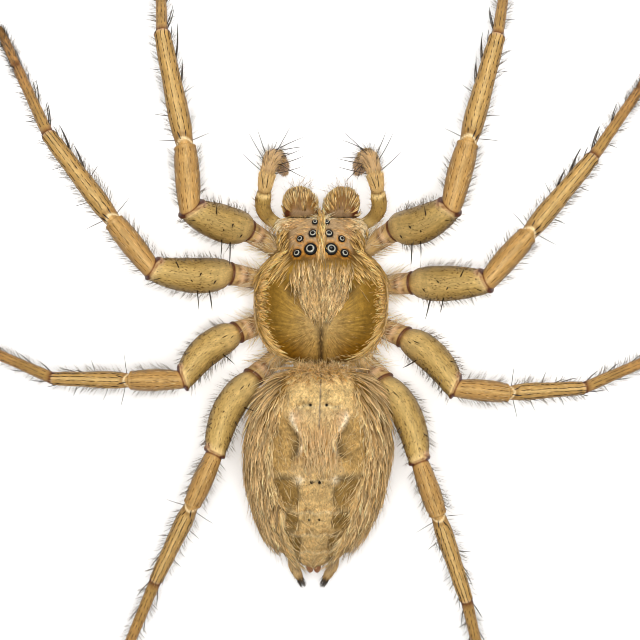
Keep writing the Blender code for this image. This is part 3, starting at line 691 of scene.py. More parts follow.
def abdomen_half_width(y):
    """Half width of the abdomen: blunt in front of its widest place, an ellipse behind it."""
    ahead = np.clip((ABDOMEN_WIDEST_Y - y) / (ABDOMEN_WIDEST_Y - ABDOMEN_FRONT_Y), 0.0, 1.0)
    behind = np.clip((y - ABDOMEN_WIDEST_Y) / (ABDOMEN_TIP_Y - ABDOMEN_WIDEST_Y), 0.0, 1.0)
    return ABDOMEN_HALF_WIDTH * (1 - ahead**1.9) ** (1 / 3) * np.sqrt(1 - behind**2)


def abdomen_middle_x(y):
    """x of the abdomen's middle line, which leans to the left towards the rear."""
    return ABDOMEN_LEAN * (y - ABDOMEN_FRONT_Y)


@dataclass
class Marks:
    """The abdomen's markings as shares from 0 to 1 at each place."""

    band: np.ndarray
    edge: np.ndarray
    hollow: np.ndarray
    block: np.ndarray
    flank: np.ndarray
    dot: np.ndarray
    line: np.ndarray
    column: np.ndarray
    top: np.ndarray


def abdomen_marks(x, y, z):
    """The markings at places on the abdomen, from their distance to its middle line and their Y."""
    left = x - abdomen_middle_x(y)
    out = np.abs(left)
    top = smooth_step(-0.4, 0.6, z - eased(ABDOMEN_Z, y))
    ragged = 0.04 * np.sin(9.0 * y + 2.0 * left) + 0.03 * np.sin(23.0 * y + 1.3)
    band_half = eased(BAND_HALF, y) + ragged
    band = smooth_step(0.06, -0.06, out - band_half)
    edge = bell(out, band_half - 0.09 - ragged, 0.11) * between(y, 5.0, 5.4, 6.8, 7.6)
    teeth = patch(out, y, (0.88, 8.5), (0.20, 0.20))
    flank = smooth_step(-0.10, 0.12, out - eased(FLANK_START, y) + ragged)
    beside = smooth_step(-0.05, 0.05, out - band_half) * (1 - flank)
    # The hollows beside the waist are sunk, and darkest next to the band's edge as painted shade
    hollow = beside * between(y, 5.4, 6.2, 7.2, 7.8) * (0.10 + 0.90 * bell(out - band_half, 0.06, 0.34))
    block = np.zeros_like(y)
    for first, last, inner, outer in BLOCKS:
        inside = between(y, first - 0.06, first + 0.06, last - 0.06, last + 0.06)
        block = np.maximum(block, inside * between(out, inner - 0.05, inner + 0.05, outer - 0.15, outer))
    dot = np.zeros_like(y)
    for dot_out, dot_y, size in DOTS:
        dot = np.maximum(dot, patch(np.abs(left - DOT_SHIFT), y, (dot_out, dot_y), (size, size)))
    line = bell(left, -0.02, 0.035) * between(y, 2.9, 3.3, 6.0, 6.6)
    return Marks(
        band=band * top,
        edge=np.maximum(edge, teeth) * top,
        hollow=hollow * top,
        block=block * (1 - flank) * top,
        flank=1 - (1 - flank) * top,
        dot=dot * top,
        line=line * top,
        column=smooth_step(7.9, 8.4, y),
        top=top,
    )


def abdomen_tint(points):
    """The abdomen's colour under its coat, which carries the same markings; hollows and flanks get painted
    shade.
    """
    x, y, z = np.moveaxis(points, -1, 0)
    marks = abdomen_marks(x, y, z)
    out = np.abs(x - abdomen_middle_x(y))
    off_band = 1 - marks.band
    colour = painted(
        points,
        FIELD,
        (BAND, marks.band * smooth_step(4.9, 5.1, y)),
        (SHOULDER_PINK, 0.6 * patch(out, y, (1.25, 5.55), (0.35, 0.45))),
        (WAIST, marks.band * bell(y, 6.9, 0.85)),
        (COLUMN, marks.column),
        (COLUMN * 0.55, marks.column * off_band),
        (HOLLOW * 2.1, between(y, 5.0, 5.6, 7.9, 8.3) * off_band),
        # Painted shade in the hollows, darkest next to the band's edge
        (HOLLOW * 0.72, marks.hollow),
        (BLOCK, 0.95 * marks.block),
    )
    for seam_y, width in SEAMS:
        fold_y = seam_y + 0.05 * np.sin(7.0 * x)
        seam = bell(y, fold_y, width) * np.where(y > 7.0, marks.band, smooth_step(1.25, 1.0, out))
        colour = blend(colour, BROWN * 1.6, 0.45 * seam * smooth_step(0.12, 0.35, out))
        colour = blend(colour, PALE * 0.85, 0.5 * bell(y, fold_y + 0.16, width) * smooth_step(1.3, 1.05, out))
    return painted(
        points,
        colour,
        (BAND_EDGE, 0.95 * marks.edge),
        (FOVEA_DARK, marks.dot),
        (GREY_HAIR * 0.8, 0.85 * marks.line),
        # Painted shade under the flank coat
        (COAT_GAP_SHADE, marks.flank),
        (BELLY, smooth_step(0.2, -1.2, z - eased(ABDOMEN_Z, y))),
    )


def abdomen():
    """The abdomen: oval sections along a line that leans a little to the left.

    x = middle + half sin(a), z = centre - slender half cos(a), with a from underneath and its steps
    half as long on the back, where the markings are. The band stands proud and the hollows are sunk.
    """
    turn = np.linspace(0.0, math.pi, 200)[1:-1]
    middle_y = (ABDOMEN_FRONT_Y + ABDOMEN_TIP_Y) / 2
    ring_y = middle_y - (ABDOMEN_TIP_Y - ABDOMEN_FRONT_Y) / 2 * np.cos(turn)
    half = abdomen_half_width(ring_y)[:, None]
    share = 2 * math.pi * np.arange(224) / 224
    angle = share + 0.5 * np.sin(share)
    x = abdomen_middle_x(ring_y)[:, None] + half * np.sin(angle)
    z = eased(ABDOMEN_Z, ring_y)[:, None] - ABDOMEN_SLENDER * half * np.cos(angle)
    y = np.broadcast_to(ring_y[:, None], x.shape)
    marks = abdomen_marks(x, y, z)
    depth = BAND_DEPTH + (FLANK_DEPTH - BAND_DEPTH) * marks.flank
    depth = depth + HOLLOW_DEPTH * marks.hollow + BLOCK_DEPTH * marks.block
    depth = depth + 0.05 * marks.dot + 0.03 * marks.line - 0.03 * marks.edge
    lumps = np.sin(5.1 * x + 1.7 * np.sin(2.3 * y)) * np.sin(4.3 * y + 1.3 * np.sin(3.1 * x))
    ripples = np.sin(11.0 * x + 2.0 * np.sin(5.3 * y)) * np.sin(9.7 * y + 2.0 * np.sin(6.1 * x))
    depth = depth + (0.025 * lumps + 0.012 * ripples) * marks.top * (1 - marks.flank)
    rings = sunk(wide(x, y, z), depth * smooth_step(0.0, 0.8, half))
    return Hide(rings, np.arange(len(rings)), "abdomen_hide", abdomen_tint(rings))


def chelicera(side):
    """A swollen base that hangs from the face: D-shaped sections from its top down, flat at the back.

    Round a section, x = half width cos(a) and y = half depth sin(a), each to a power, which squares the
    corners against the face, and the inner side leans away from the middle line towards the front.
    """
    table = np.array(CHELICERA_ROWS)
    rows = np.linspace(0.0, 1.0, 48) ** 1.2
    spots = np.linspace(0.0, 1.0, len(table))
    z, y, half_width, half_depth = eased(np.column_stack([spots, table]), rows).T
    half_width[0] = half_depth[0] = half_width[-1] = half_depth[-1] = 0.02
    angle = np.arange(48) * 2 * math.pi / 48 + math.pi / 2
    across = np.cos(angle)
    deep = np.sin(angle)
    back = deep > 0
    outer = side * across > 0
    depth = np.where(back, np.abs(deep) ** BACK_POWER, deep)
    power = np.where(back, BACK_POWER, np.where(outer, OUTER_POWER, INNER_POWER))
    square = np.sign(across) * np.abs(across) ** power
    square = square * np.where(outer, 1.0, INNER_SHARE * (1 - INNER_LEAN * (1 - depth) / 2))
    x_grid = side * CHELICERA_X + half_width[:, None] * square
    y_grid = np.minimum(y[:, None] + half_depth[:, None] * depth, FRONT_Y - 0.02)
    rings = sunk(wide(x_grid, y_grid, z[:, None]), 0.03)
    x, y, z = np.moveaxis(rings, -1, 0)
    outward = side * x - CHELICERA_X
    bald = smooth_step(-5.02, -4.72, y) * smooth_step(2.2, 2.8, z)
    corner = smooth_step(-5.15, -4.80, y) * smooth_step(0.35, 0.70, outward)
    colour = painted(
        rings,
        BROWN * 1.1,
        (BARE_BROWN, bald * smooth_step(0.85, 0.3, np.abs(outward))),
        (RED_BROWN, np.clip(1.4 * corner, 0.0, 1.0)),
        (RED_BROWN * 1.4, smooth_step(2.0, 1.5, z)),
    )
    return Hide(rings, np.arange(len(rings)), "limb_shell", colour)


def palp_stops():
    """Where a palp's knee, wrist and tarsus lie, as shares of its length."""
    stops = chord_shares(PALP_PATH)
    return stops[PALP_KNEE] + KNEE_SHIFT, stops[PALP_WRIST], stops[PALP_TARSUS]


def palp(side):
    """A feeler from beside the mouth to its curled tip, pinched a little at its joints."""
    count = 84
    share = np.linspace(0.0, 1.0, count)
    path = smooth_path(mirrored(PALP_PATH, side), count)
    knee, wrist, tarsus = palp_stops()
    pinch = bell(share, knee, 0.008) + bell(share, wrist, 0.008)
    radius = eased(PALP_RADIUS, share) * (1 - 0.14 * pinch) - LIMB_DEPTH
    rings = tube(path, radius, radius)
    s = over_rings(share, rings)
    colour = painted(
        rings,
        FEMUR_TAN,
        (FEMUR_PALE, smooth_step(0.25, 0.1, s)),
        (LIP_PALE, bell(s, knee - 0.02, 0.014)),
        (0.5 * ORANGE_TAN + 0.4 * LIP_PALE, smooth_step(knee, knee + 0.01, s)),
        (CONDYLE, 0.8 * bell(s, knee + 0.004, 0.007)),
        (PALP_TAN, smooth_step(wrist, wrist + 0.01, s)),
        (CONDYLE, 0.65 * bell(s, wrist, 0.007)),
        (PALP_PINK, smooth_step(tarsus, tarsus + 0.1, s)),
    )
    return Hide(rings, PALP_PARTS * share, "limb_shell", colour)


def spinneret(side):
    """A long spinneret behind the abdomen, bent towards the middle."""
    points = mirrored(SPINNERET_PATH, side)
    points[:, 0] += abdomen_middle_x(points[:, 1])
    share = np.linspace(0.0, 1.0, 20)
    radius = eased(SPINNERET_RADIUS, share) * (1 - 0.15 * bell(share, 0.55, 0.04))
    rings = tube(smooth_path(points, 20), radius, radius, sides=16)
    colour = painted(rings, SPINNERET_TAN, (BROWN, over_rings(smooth_step(0.7, 1.0, share), rings)))
    return Hide(rings, share, "limb_shell", colour)


def small_spinneret(side):
    """One of the two short red-brown lobes between the long spinnerets."""
    share = np.linspace(0.0, 1.0, 12)
    start = np.array([abdomen_middle_x(12.7) + side * LOBE_X, LOBE_Y, LOBE_Z])
    path = start + share[:, None] * mirrored(LOBE_RUN, side)
    radius = LOBE_RADIUS * np.sqrt(np.clip(1 - (1.02 * share) ** 4, 0.01, 1.0))
    rings = tube(path, radius, radius, sides=16)
    return Hide(rings, share, "limb_shell", LOBE_BROWN)


def leg_joints(stance):
    """The joints of a leg from its root to its toe."""
    size = PAIRS[stance.pair]
    side = stance.side
    root = np.array([side * stance.root[0], stance.root[1], ROOT_Z])
    base = np.array([side * stance.femur_base[0], stance.femur_base[1], FEMUR_BASE_Z])
    knee = base + size.femur * direction(side, *stance.femur)
    shin = knee + size.patella * direction(side, *stance.patella)
    heel = shin + size.tibia * direction(side, *stance.tibia)
    fall = math.degrees(math.asin((ANKLE_Z - heel[2]) / size.metatarsus))
    ankle = heel + size.metatarsus * direction(side, stance.metatarsus_heading, fall)
    fall = math.degrees(math.asin((TOE_Z - ankle[2]) / size.tarsus))
    toe = ankle + size.tarsus * direction(side, stance.tarsus_heading, fall)
    return [root, base, knee, shin, heel, ankle, toe]


def segment(start, end, start_normal, end_normal, sizes, count, bow=0.0, sweep=0.0):
    """A tube between two joints, short of both by half the joint gap, its rings closer at the ends.

    It rises by bow and leans along its horizontal side by sweep, half way between its ends.
    """
    axis = unit(end - start)
    side = unit(np.cross(axis, UPWARDS))
    up = np.cross(side, axis)
    trim_start = JOINT_GAP / 2 / abs(axis @ start_normal)
    trim_end = JOINT_GAP / 2 / abs(axis @ end_normal)
    length = np.linalg.norm(end - start)
    even = np.linspace(0.0, 1.0, count)
    share = even - 0.11 * np.sin(2 * math.pi * even)
    reach = trim_start + (length - trim_start - trim_end) * share
    path = start + reach[:, None] * axis + np.sin(math.pi * share)[:, None] * (bow * up + sweep * side)
    lip = 1 + 0.05 * bell(share, 0.985, 0.018) - 0.05 * bell(share, 0.93, 0.03)
    half = eased(sizes, share) * lip - LIMB_DEPTH
    return tube(path, half, 1.04 * half, start_normal, end_normal), share


def scaled(sizes, half):
    """A table of shares as half widths."""
    return [(place, share * half) for place, share in sizes]


def drawn_in(ring, share):
    """A ring shrunk about its middle to this share of its size, as a stretch of one ring."""
    middle = ring.mean(axis=0)
    return (middle + share * (ring - middle))[None]


def leg(stance):
    """A whole leg in one skin, with a soft ring drawn in at each joint."""
    size = PAIRS[stance.pair]
    root, base, knee, shin, heel, ankle, toe = joints = leg_joints(stance)
    axes = [unit(b - a) for a, b in zip(joints, joints[1:])]
    normals = [axes[0]] + [unit(a + b) for a, b in zip(axes, axes[1:])]
    sweep = -stance.side * stance.sweep
    femur_sizes = scaled(FEMUR_SIZES, size.femur_half)
    parts = [
        segment(root, base, normals[0], normals[1], COXA_SIZES, 16),
        segment(base, knee, normals[1], normals[2], femur_sizes, 34, FEMUR_BOW, sweep),
        segment(knee, shin, normals[2], normals[3], scaled(PATELLA_SIZES, size.patella_half), 24),
        segment(shin, heel, normals[3], normals[4], scaled(TIBIA_SIZES, size.tibia_half), 34),
    ]
    foot_start = heel + JOINT_GAP / 2 / abs(axes[4] @ normals[4]) * axes[4]
    toe_start = toe - TOE_LENGTH * direction(stance.side, stance.tarsus_heading, 0.0)
    middle = (foot_start + 2 * ankle) / 3
    bend = smooth_path([foot_start, middle, ankle, (ankle + toe_start) / 2, toe_start, toe], 46)
    split = size.metatarsus / (size.metatarsus + size.tarsus)
    foot_sizes = (
        (0.0, 1.10 * METATARSUS_HALF),
        (0.2, METATARSUS_HALF),
        (split - 0.03, 0.92 * METATARSUS_HALF),
        (split + 0.05, TARSUS_HALF),
        (0.93, 0.88 * TARSUS_HALF),
        (1.0, TOE_HALF),
    )
    share = np.linspace(0.0, 1.0, 46)
    half = eased(foot_sizes, share) * (1 - 0.16 * bell(share, split, 0.012)) - 0.5 * LIMB_DEPTH
    foot = tube(bend, half, half, normals[4], None)
    foot[..., 2] = np.maximum(foot[..., 2], 0.005)
    parts.append((foot, share))
    rings = []
    along = []
    for k, (part, part_share) in enumerate(parts):
        if k > 0:
            rings.append(drawn_in((rings[-1][-1] + part[0]) / 2, JOINT_WAIST))
            along.append([float(k)])
        rings.append(part)
        along.append(k + 0.01 + 0.98 * part_share)
    rings.append(drawn_in(rings[-1][-1], 0.05))
    along.append([5.0])
    rings = np.concatenate(rings)
    along = np.concatenate(along)
    return Hide(rings, along, "limb_shell", leg_tint(rings, along, 4 + split, stance.side))


def leg_tint(rings, along, wrist, side):
    """The leg's colour: pale base, olive femur, orange patella and tibia, brown foot, marked joints,
    with painted shade on its sides and at the femur's base, and a painted highlight along its top.

    s counts the leg's parts from its root, so that whole numbers are joints: 1 between coxa and femur,
    2 and 3 at the ends of the patella, 4 at the foot, with the wrist beyond it.
    """
    s = over_rings(along, rings)
    around = 2 * math.pi * np.arange(rings.shape[1]) / rings.shape[1]
    even = np.ones_like(s)
    flank = np.abs(np.sin(around)) * even
    ahead = smooth_step(0.2, 0.8, side * np.sin(around)) * even
    back = smooth_step(0.2, 0.8, -np.cos(around)) * even
    # Painted shade on the leg's sides, where it turns away from the light
    painted_side_shade = smooth_step(0.55, 1.0, flank)
    # A pale stripe along the top: partly the leg's own stripe, partly painted highlight
    stripe_and_highlight = bell(flank, 0.0, 0.30) * back
    curve = 0.05 * np.cos(2 * around)
    arcs = 0.95 * bell(s, 0.72 + curve, 0.022) + bell(s, 0.99, 0.014)
    arcs = arcs + 0.85 * bell(s, 0.90 - 0.5 * curve, 0.012)
    base_marks = 0.9 * bell(s, 1.004, 0.009) + 0.6 * bell(s, 1.05, 0.02) * smooth_step(0.6, 0.95, flank)
    knee_arc = bell(s, 1.955 + 0.04 * (1 - ahead), 0.012) * back * smooth_step(0.1, 0.4, ahead + 0.3)
    lobe = 3.0 + 0.050 * np.clip(-np.cos(around), 0.0, 1.0) ** 2 * even
    knuckles = sum(bell(s, place, 0.020) for place in (1.99, 2.008, 3.990, 4.010))
    knuckles = knuckles * smooth_step(0.65, 0.90, flank)
    femur = painted(
        rings,
        FEMUR_PALE,
        (FEMUR_TAN, smooth_step(1.15, 1.60, s)),
        # Painted highlight along the femur's top
        (FEMUR_PALE * 1.12, 0.65 * bell(flank, 0.0, 0.45) * back),
        (FEMUR_TAN * 0.42, 0.75 * painted_side_shade),
        # Painted shade at the femur's base, beside the joint with the coxa
        (BROWN * 1.5, 0.55 * bell(s, 1.01, 0.045)),
        (CONDYLE * 1.4, base_marks),
        (LIP_PALE, 0.85 * back * (1 - ahead) * smooth_step(1.90, 1.97, s)),
        (MEMBRANE * 0.95, ahead * smooth_step(1.90, 1.95, s)),
        (CONDYLE * 2.5, 0.8 * knee_arc),
    )
    patella = painted(
        rings,
        ORANGE_TAN * 0.9,
        (LIP_PALE, 0.25 * stripe_and_highlight),
        (ORANGE_TAN * 0.5, 0.75 * painted_side_shade),
        (CONDYLE * 1.6, 0.9 * bell(s, 2.014, 0.018)),
    )
    tibia = painted(
        rings,
        TIBIA_TAN,
        (LIP_PALE, 0.45 * stripe_and_highlight),
        (TIBIA_TAN * 0.55, 0.7 * painted_side_shade),
        (BROWN * 1.3, 0.7 * bell(s, lobe + 0.035, 0.03)),
        (MEMBRANE * 0.9, 0.8 * bell(s, 3.985, 0.013)),
    )
    foot = painted(
        rings,
        TIBIA_TAN * 0.9,
        (FOOT_TAN, smooth_step(4.1, wrist, s)),
        (FOOT_TAN * 0.55, 0.6 * painted_side_shade),
        (CONDYLE * 1.6, 0.9 * bell(s, 4.012, 0.020) + 0.9 * bell(s, wrist, 0.022)),
        (BROWN, smooth_step(4.8, 5.0, s)),
    )
    return painted(
        rings,
        COXA_TAN,
        (COXA_TAN * 0.6, 0.6 * painted_side_shade),
        (MEMBRANE, 0.8 * bell(s, 0.83, 0.06)),
        (CONDYLE, np.clip(arcs, 0.0, 1.0)),
        (femur, smooth_step(0.99, 1.0, s)),
        (patella, smooth_step(1.995, 2.005, s)),
        (tibia, smooth_step(lobe - 0.006, lobe + 0.006, s)),
        (PALE, 0.85 * bell(s, lobe, 0.010) * smooth_step(2.95, 2.98, s)),
        (foot, smooth_step(3.995, 4.005, s)),
        (CONDYLE, np.clip(1.4 * knuckles, 0.0, 1.0)),
    )


class Value:
    """A shader socket. Python's operators on it add Math nodes to its material."""

    def __init__(self, finish, socket):
        self.finish = finish
        self.socket = socket

    def maths(self, operation, *values):
        return self.finish.node("ShaderNodeMath", {"operation": operation}, *values)

    def __add__(self, other):
        return self.maths("ADD", self, other)

    def __sub__(self, other):
        return self.maths("SUBTRACT", self, other)

    def __rsub__(self, other):
        return self.maths("SUBTRACT", other, self)

    def __mul__(self, other):
        return self.maths("MULTIPLY", self, other)

    def __pow__(self, other):
        return self.maths("POWER", self, other)

    __radd__ = __add__
    __rmul__ = __mul__

    def ramp(self, low, high, to_low=0.0, to_high=1.0):
        """Goes evenly from to_low at low to to_high at high, and stays there."""
        return self.finish.node("ShaderNodeMapRange", {}, self, low, high, to_low, to_high)


class Finish:
    """A material being put together round one Principled shader."""

    def __init__(self, name, **constants):
        self.material = bpy.data.materials.new(name)
        self.material.use_nodes = True
        self.tree = self.material.node_tree
        self.shader = self.tree.nodes["Principled BSDF"]
        for socket, value in constants.items():
            self.shader.inputs[socket.replace("_", " ")].default_value = value

    def node(self, kind, settings, *inputs, output=0):
        """A node of this kind: its settings first, then its inputs in order. None leaves an input alone."""
        made = self.tree.nodes.new(kind)
        for name, setting in settings.items():
            if name == "stops":
                self.set_stops(made.color_ramp, setting)
            else:
                setattr(made, name, setting)
        for socket, value in zip([s for s in made.inputs if s.enabled], inputs):
            self.feed(socket, value)
        return Value(self, [s for s in made.outputs if s.enabled][output])

    def set_stops(self, ramp, stops):
        while len(ramp.elements) < len(stops):
            ramp.elements.new(0.5)
        for element, (place, colour) in zip(ramp.elements, stops):
            element.position = place
            element.color = (*colour, 1.0)

    def feed(self, socket, value):
        if value is None:
            return
        if isinstance(value, Value):
            self.tree.links.new(value.socket, socket)
        else:
            socket.default_value = value

    def mix(self, share, first, second, how="MIX"):
        """A colour between two, or one laid over the other in another way."""
        return self.node("ShaderNodeMix", {"data_type": "RGBA", "blend_type": how}, share, first, second)

    def noise(self, where, scale, detail=3.0, roughness=0.5):
        """Soft noise at a place, finer with the scale."""
        return self.node("ShaderNodeTexNoise", {}, where, scale, detail, roughness)

    def shaded(self, colour, brightness):
        """The colour times a brightness."""
        grey = self.node("ShaderNodeCombineColor", {}, brightness, brightness, brightness)
        return self.mix(1.0, colour, grey, "MULTIPLY")

    def stretched(self, where, x, y, z):
        """Coordinates times a factor for each axis."""
        return self.node("ShaderNodeVectorMath", {"operation": "MULTIPLY"}, where, (x, y, z))

    def finish(self, colour, roughness, height=None, bump=0.5, distance=0.00002):
        """The finished material, with these as its colour and roughness, and bumps of this height."""
        self.feed(self.shader.inputs["Base Color"], colour)
        self.feed(self.shader.inputs["Roughness"], roughness)
        if height is not None:
            normal = self.node("ShaderNodeBump", {}, bump, distance, None, height)
            self.feed(self.shader.inputs["Normal"], normal)
        return self.material

    def place(self):
        """Object coordinates in millimetres."""
        where = self.node("ShaderNodeTexCoord", {}, output=3)
        return self.stretched(where, 1000.0, 1000.0, 1000.0)

    def axis(self, where, number):
        """One coordinate of a place: 0 for x, 1 for y, 2 for z."""
        return self.node("ShaderNodeSeparateXYZ", {}, where, output=number)

    def lie(self):
        """The skin's own map: millimetres along and round each stretch."""
        return self.node("ShaderNodeUVMap", {"uv_map": "lie"})

    def tint(self):
        """The colour kept with each point of the mesh."""
        return self.node("ShaderNodeAttribute", {"attribute_name": "tint"})


def carapace_shell():
    """Smooth olive shell with fine lines that radiate from the fovea, and a faint grain."""
    shell = Finish("carapace_shell", Specular_IOR_Level=0.08)
    where = shell.place()
    x = shell.axis(where, 0) - (FOVEA[0] - BOX_MIDDLE[0])
    y = shell.axis(where, 1) - (FOVEA[1] - BOX_MIDDLE[1])
    turn = x.maths("ARCTAN2", x, y)
    reach = (x * x + y * y) ** 0.5
    rays = shell.noise(shell.node("ShaderNodeCombineXYZ", {}, turn * 6.0, reach * 0.35, 0.0), 3.0, 5.0, 0.6)
    fade = reach.ramp(0.2, 1.0) * reach.ramp(3.3, 2.2)
    lines = rays.ramp(0.40, 0.62, 0.72, 1.18)
    grain = shell.noise(where, 5.0, 5.0, 0.65)
    fine = shell.noise(where, 30.0, 2.0, 0.5)
    light = (1.0 - fade) + fade * lines
    brightness = light * grain.ramp(0.3, 0.7, 0.72, 1.25) * fine.ramp(0.3, 0.7, 0.85, 1.12)
    colour = shell.shaded(shell.tint(), brightness)
    return shell.finish(colour, grain.ramp(0.3, 0.7, 0.34, 0.52), fine + rays * fade, 0.35)


def abdomen_hide():
    """Soft, finely felted hide: a short nap of flecks, creases, dark specks, and the dots."""
    hide = Finish("abdomen_hide", Specular_IOR_Level=0.15)
    where = hide.place()
    nap = hide.noise(hide.stretched(where, 1.0, 0.55, 1.0), 9.0, 6.0, 0.75)
    blotch = hide.noise(where, 1.7, 4.0, 0.65)
    speck = hide.node("ShaderNodeTexVoronoi", {}, where, 5.2)
    patchy = hide.noise(where, 1.1, 2.0, 0.5)
    specks = 1.0 - speck.ramp(0.17, 0.10) * patchy.ramp(0.40, 0.58) * 0.8
    x, y, z = (hide.axis(where, number) for number in range(3))
    back = z.ramp(3.4, 3.9)
    for dot_out, dot_y, size in DOTS:
        left = x - float(abdomen_middle_x(dot_y) + DOT_SHIFT - BOX_MIDDLE[0])
        beside = left.maths("ABSOLUTE", left) - dot_out
        behind = y - float(dot_y - BOX_MIDDLE[1])
        reach = (beside * beside + behind * behind) ** 0.5
        specks = specks * (1.0 - back * reach.ramp(0.95 * size, 0.60 * size, 0.0, 0.92))
    brightness = nap.ramp(0.32, 0.68, 0.45, 1.48) * blotch.ramp(0.3, 0.7, 0.62, 1.32) * specks
    colour = hide.shaded(hide.tint(), brightness)
    return hide.finish(colour, nap.ramp(0.3, 0.7, 0.66, 0.86), nap + blotch, 0.8, 0.00006)


def limb_shell():
    """Leather-like limb skin, with faint streaks along it and fine pits."""
    limb = Finish("limb_shell", Specular_IOR_Level=0.22)
    lie = limb.lie()
    streak = limb.noise(limb.stretched(lie, 0.45, 4.2, 1.0), 2.2, 4.0, 0.6)
    fleck = limb.noise(limb.stretched(lie, 3.0, 9.0, 1.0), 2.2, 3.0, 0.6)
    blotch = limb.noise(lie, 1.6, 3.0, 0.55)
    brightness = streak.ramp(0.34, 0.66, 0.82, 1.16) * fleck.ramp(0.3, 0.7, 0.84, 1.14)
    brightness = brightness * blotch.ramp(0.3, 0.7, 0.86, 1.12)
    colour = limb.shaded(limb.tint(), brightness)
    return limb.finish(colour, blotch.ramp(0.3, 0.7, 0.40, 0.56), streak + fleck, 0.22)


def hair_fibre():
    """Hair: each strand's tint with its painted root shade and tip light, mottled a little, with a faint
    gloss.
    """
    hair = Finish("hair_fibre", Specular_IOR_Level=0.18)
    mottle = hair.noise(hair.place(), 5.0, 2.0, 0.5)
    colour = hair.shaded(hair.tint(), mottle.ramp(0.3, 0.7, 0.84, 1.16))
    return hair.finish(colour, mottle.ramp(0.3, 0.7, 0.46, 0.60))


def eye_lens():
    """Black eye with a silvery ring round its pupil, a painted reflection, glossy in the middle and dull on
    its rim.
    """
    lens = Finish("eye_lens", Coat_Roughness=0.04, Specular_IOR_Level=0.2)
    share = lens.node("ShaderNodeAttribute", {"attribute_name": "radial"}, output=2)
    cloud = lens.noise(lens.place(), 24.0, 2.0, 0.5)
    dark = (0.003, 0.003, 0.003)
    # The silvery ring is a painted reflection of a ring of light, fixed to the eye's own axis
    reflection_grey = (0.30, 0.285, 0.22)
    reflection_white = (0.58, 0.56, 0.46)
    stops = zip((0.0, 0.40, 0.47, 0.56, 0.63, 0.70, 1.0), (dark, dark, reflection_grey, reflection_white, reflection_grey, dark, dark))
    colour = lens.node("ShaderNodeValToRGB", {"stops": tuple(stops)}, share + (cloud - 0.5) * 0.05)
    lens.feed(lens.shader.inputs["Coat Weight"], share.ramp(0.70, 0.80, 0.25, 0.0))
    return lens.finish(colour, share.ramp(0.70, 0.80, 0.12, 0.60))


def horn(name, colour, tip):
    """Dark glossy horn, from its root's colour to its tip's."""
    horn_finish = Finish(name)
    cloud = horn_finish.noise(horn_finish.place(), 6.0, 3.0, 0.6)
    mixed = horn_finish.mix(cloud.ramp(0.35, 0.65), (*colour, 1.0), (*tip, 1.0))
    return horn_finish.finish(mixed, cloud.ramp(0.3, 0.7, 0.18, 0.32))


def floor_paint():
    """Pale matt paint that glows a little, so that the ground is as white as the photo's."""
    floor = Finish("floor_paint", Emission_Color=(1.0, 1.0, 1.0, 1.0), Emission_Strength=0.26)
    cloud = floor.noise(floor.place(), 0.05, 2.0, 0.5)
    colour = floor.mix(cloud, (0.93, 0.93, 0.925, 1.0), (0.95, 0.95, 0.945, 1.0))
    return floor.finish(colour, cloud.ramp(0.0, 1.0, 0.85, 0.95))


def placed(name, data):
    """A new object in the scene that holds the data."""
    thing = bpy.data.objects.new(name, data)
    bpy.context.scene.collection.objects.link(thing)
    return thing


def add_piece(name, mesh, materials, replaced=()):
    """The mesh as a smooth piece that rides on the spider's one body."""
    mesh.shade_smooth()
    for material in materials:
        mesh.materials.append(material)
    piece = placed(name, mesh)
    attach(piece, "root")
    if replaced:
        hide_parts(*replaced)
    return piece


def new_piece(name, points, faces, materials, replaced=()):
    """A piece made of millimetre points and a list of faces."""
    mesh = bpy.data.meshes.new(name)
    mesh.from_pydata(to_frame(points).tolist(), [], faces)
    return add_piece(name, mesh, materials, replaced)


def grid_faces(rings, size, flipped):
    """Quads between neighbouring rings as an array of corner numbers, each turned to face outwards."""
    i = np.arange(rings - 1)[:, None] * size
    j = np.arange(size)[None, :]
    k = (j + 1) % size
    faces = np.stack([i + j, i + size + j, i + size + k, i + k], axis=-1).reshape(-1, 4)
    return faces[:, ::-1] if flipped else faces


def end_caps(rings, size, flipped):
    """The corners of the two faces that close a stretch of skin at its ends, turned outwards."""
    first = list(range(size))
    last = list(range((rings - 1) * size, rings * size))
    return [first[::-1], last] if flipped else [first, last[::-1]]


def set_colours(mesh, name, colours):
    """A colour for each point, kept with the mesh."""
    attribute = mesh.color_attributes.new(name, "FLOAT_COLOR", "POINT")
    flat = np.ones((len(colours), 4), dtype=np.float32)
    flat[:, :3] = np.clip(colours, 0.0, 1.0)
    attribute.data.foreach_set("color", flat.ravel())


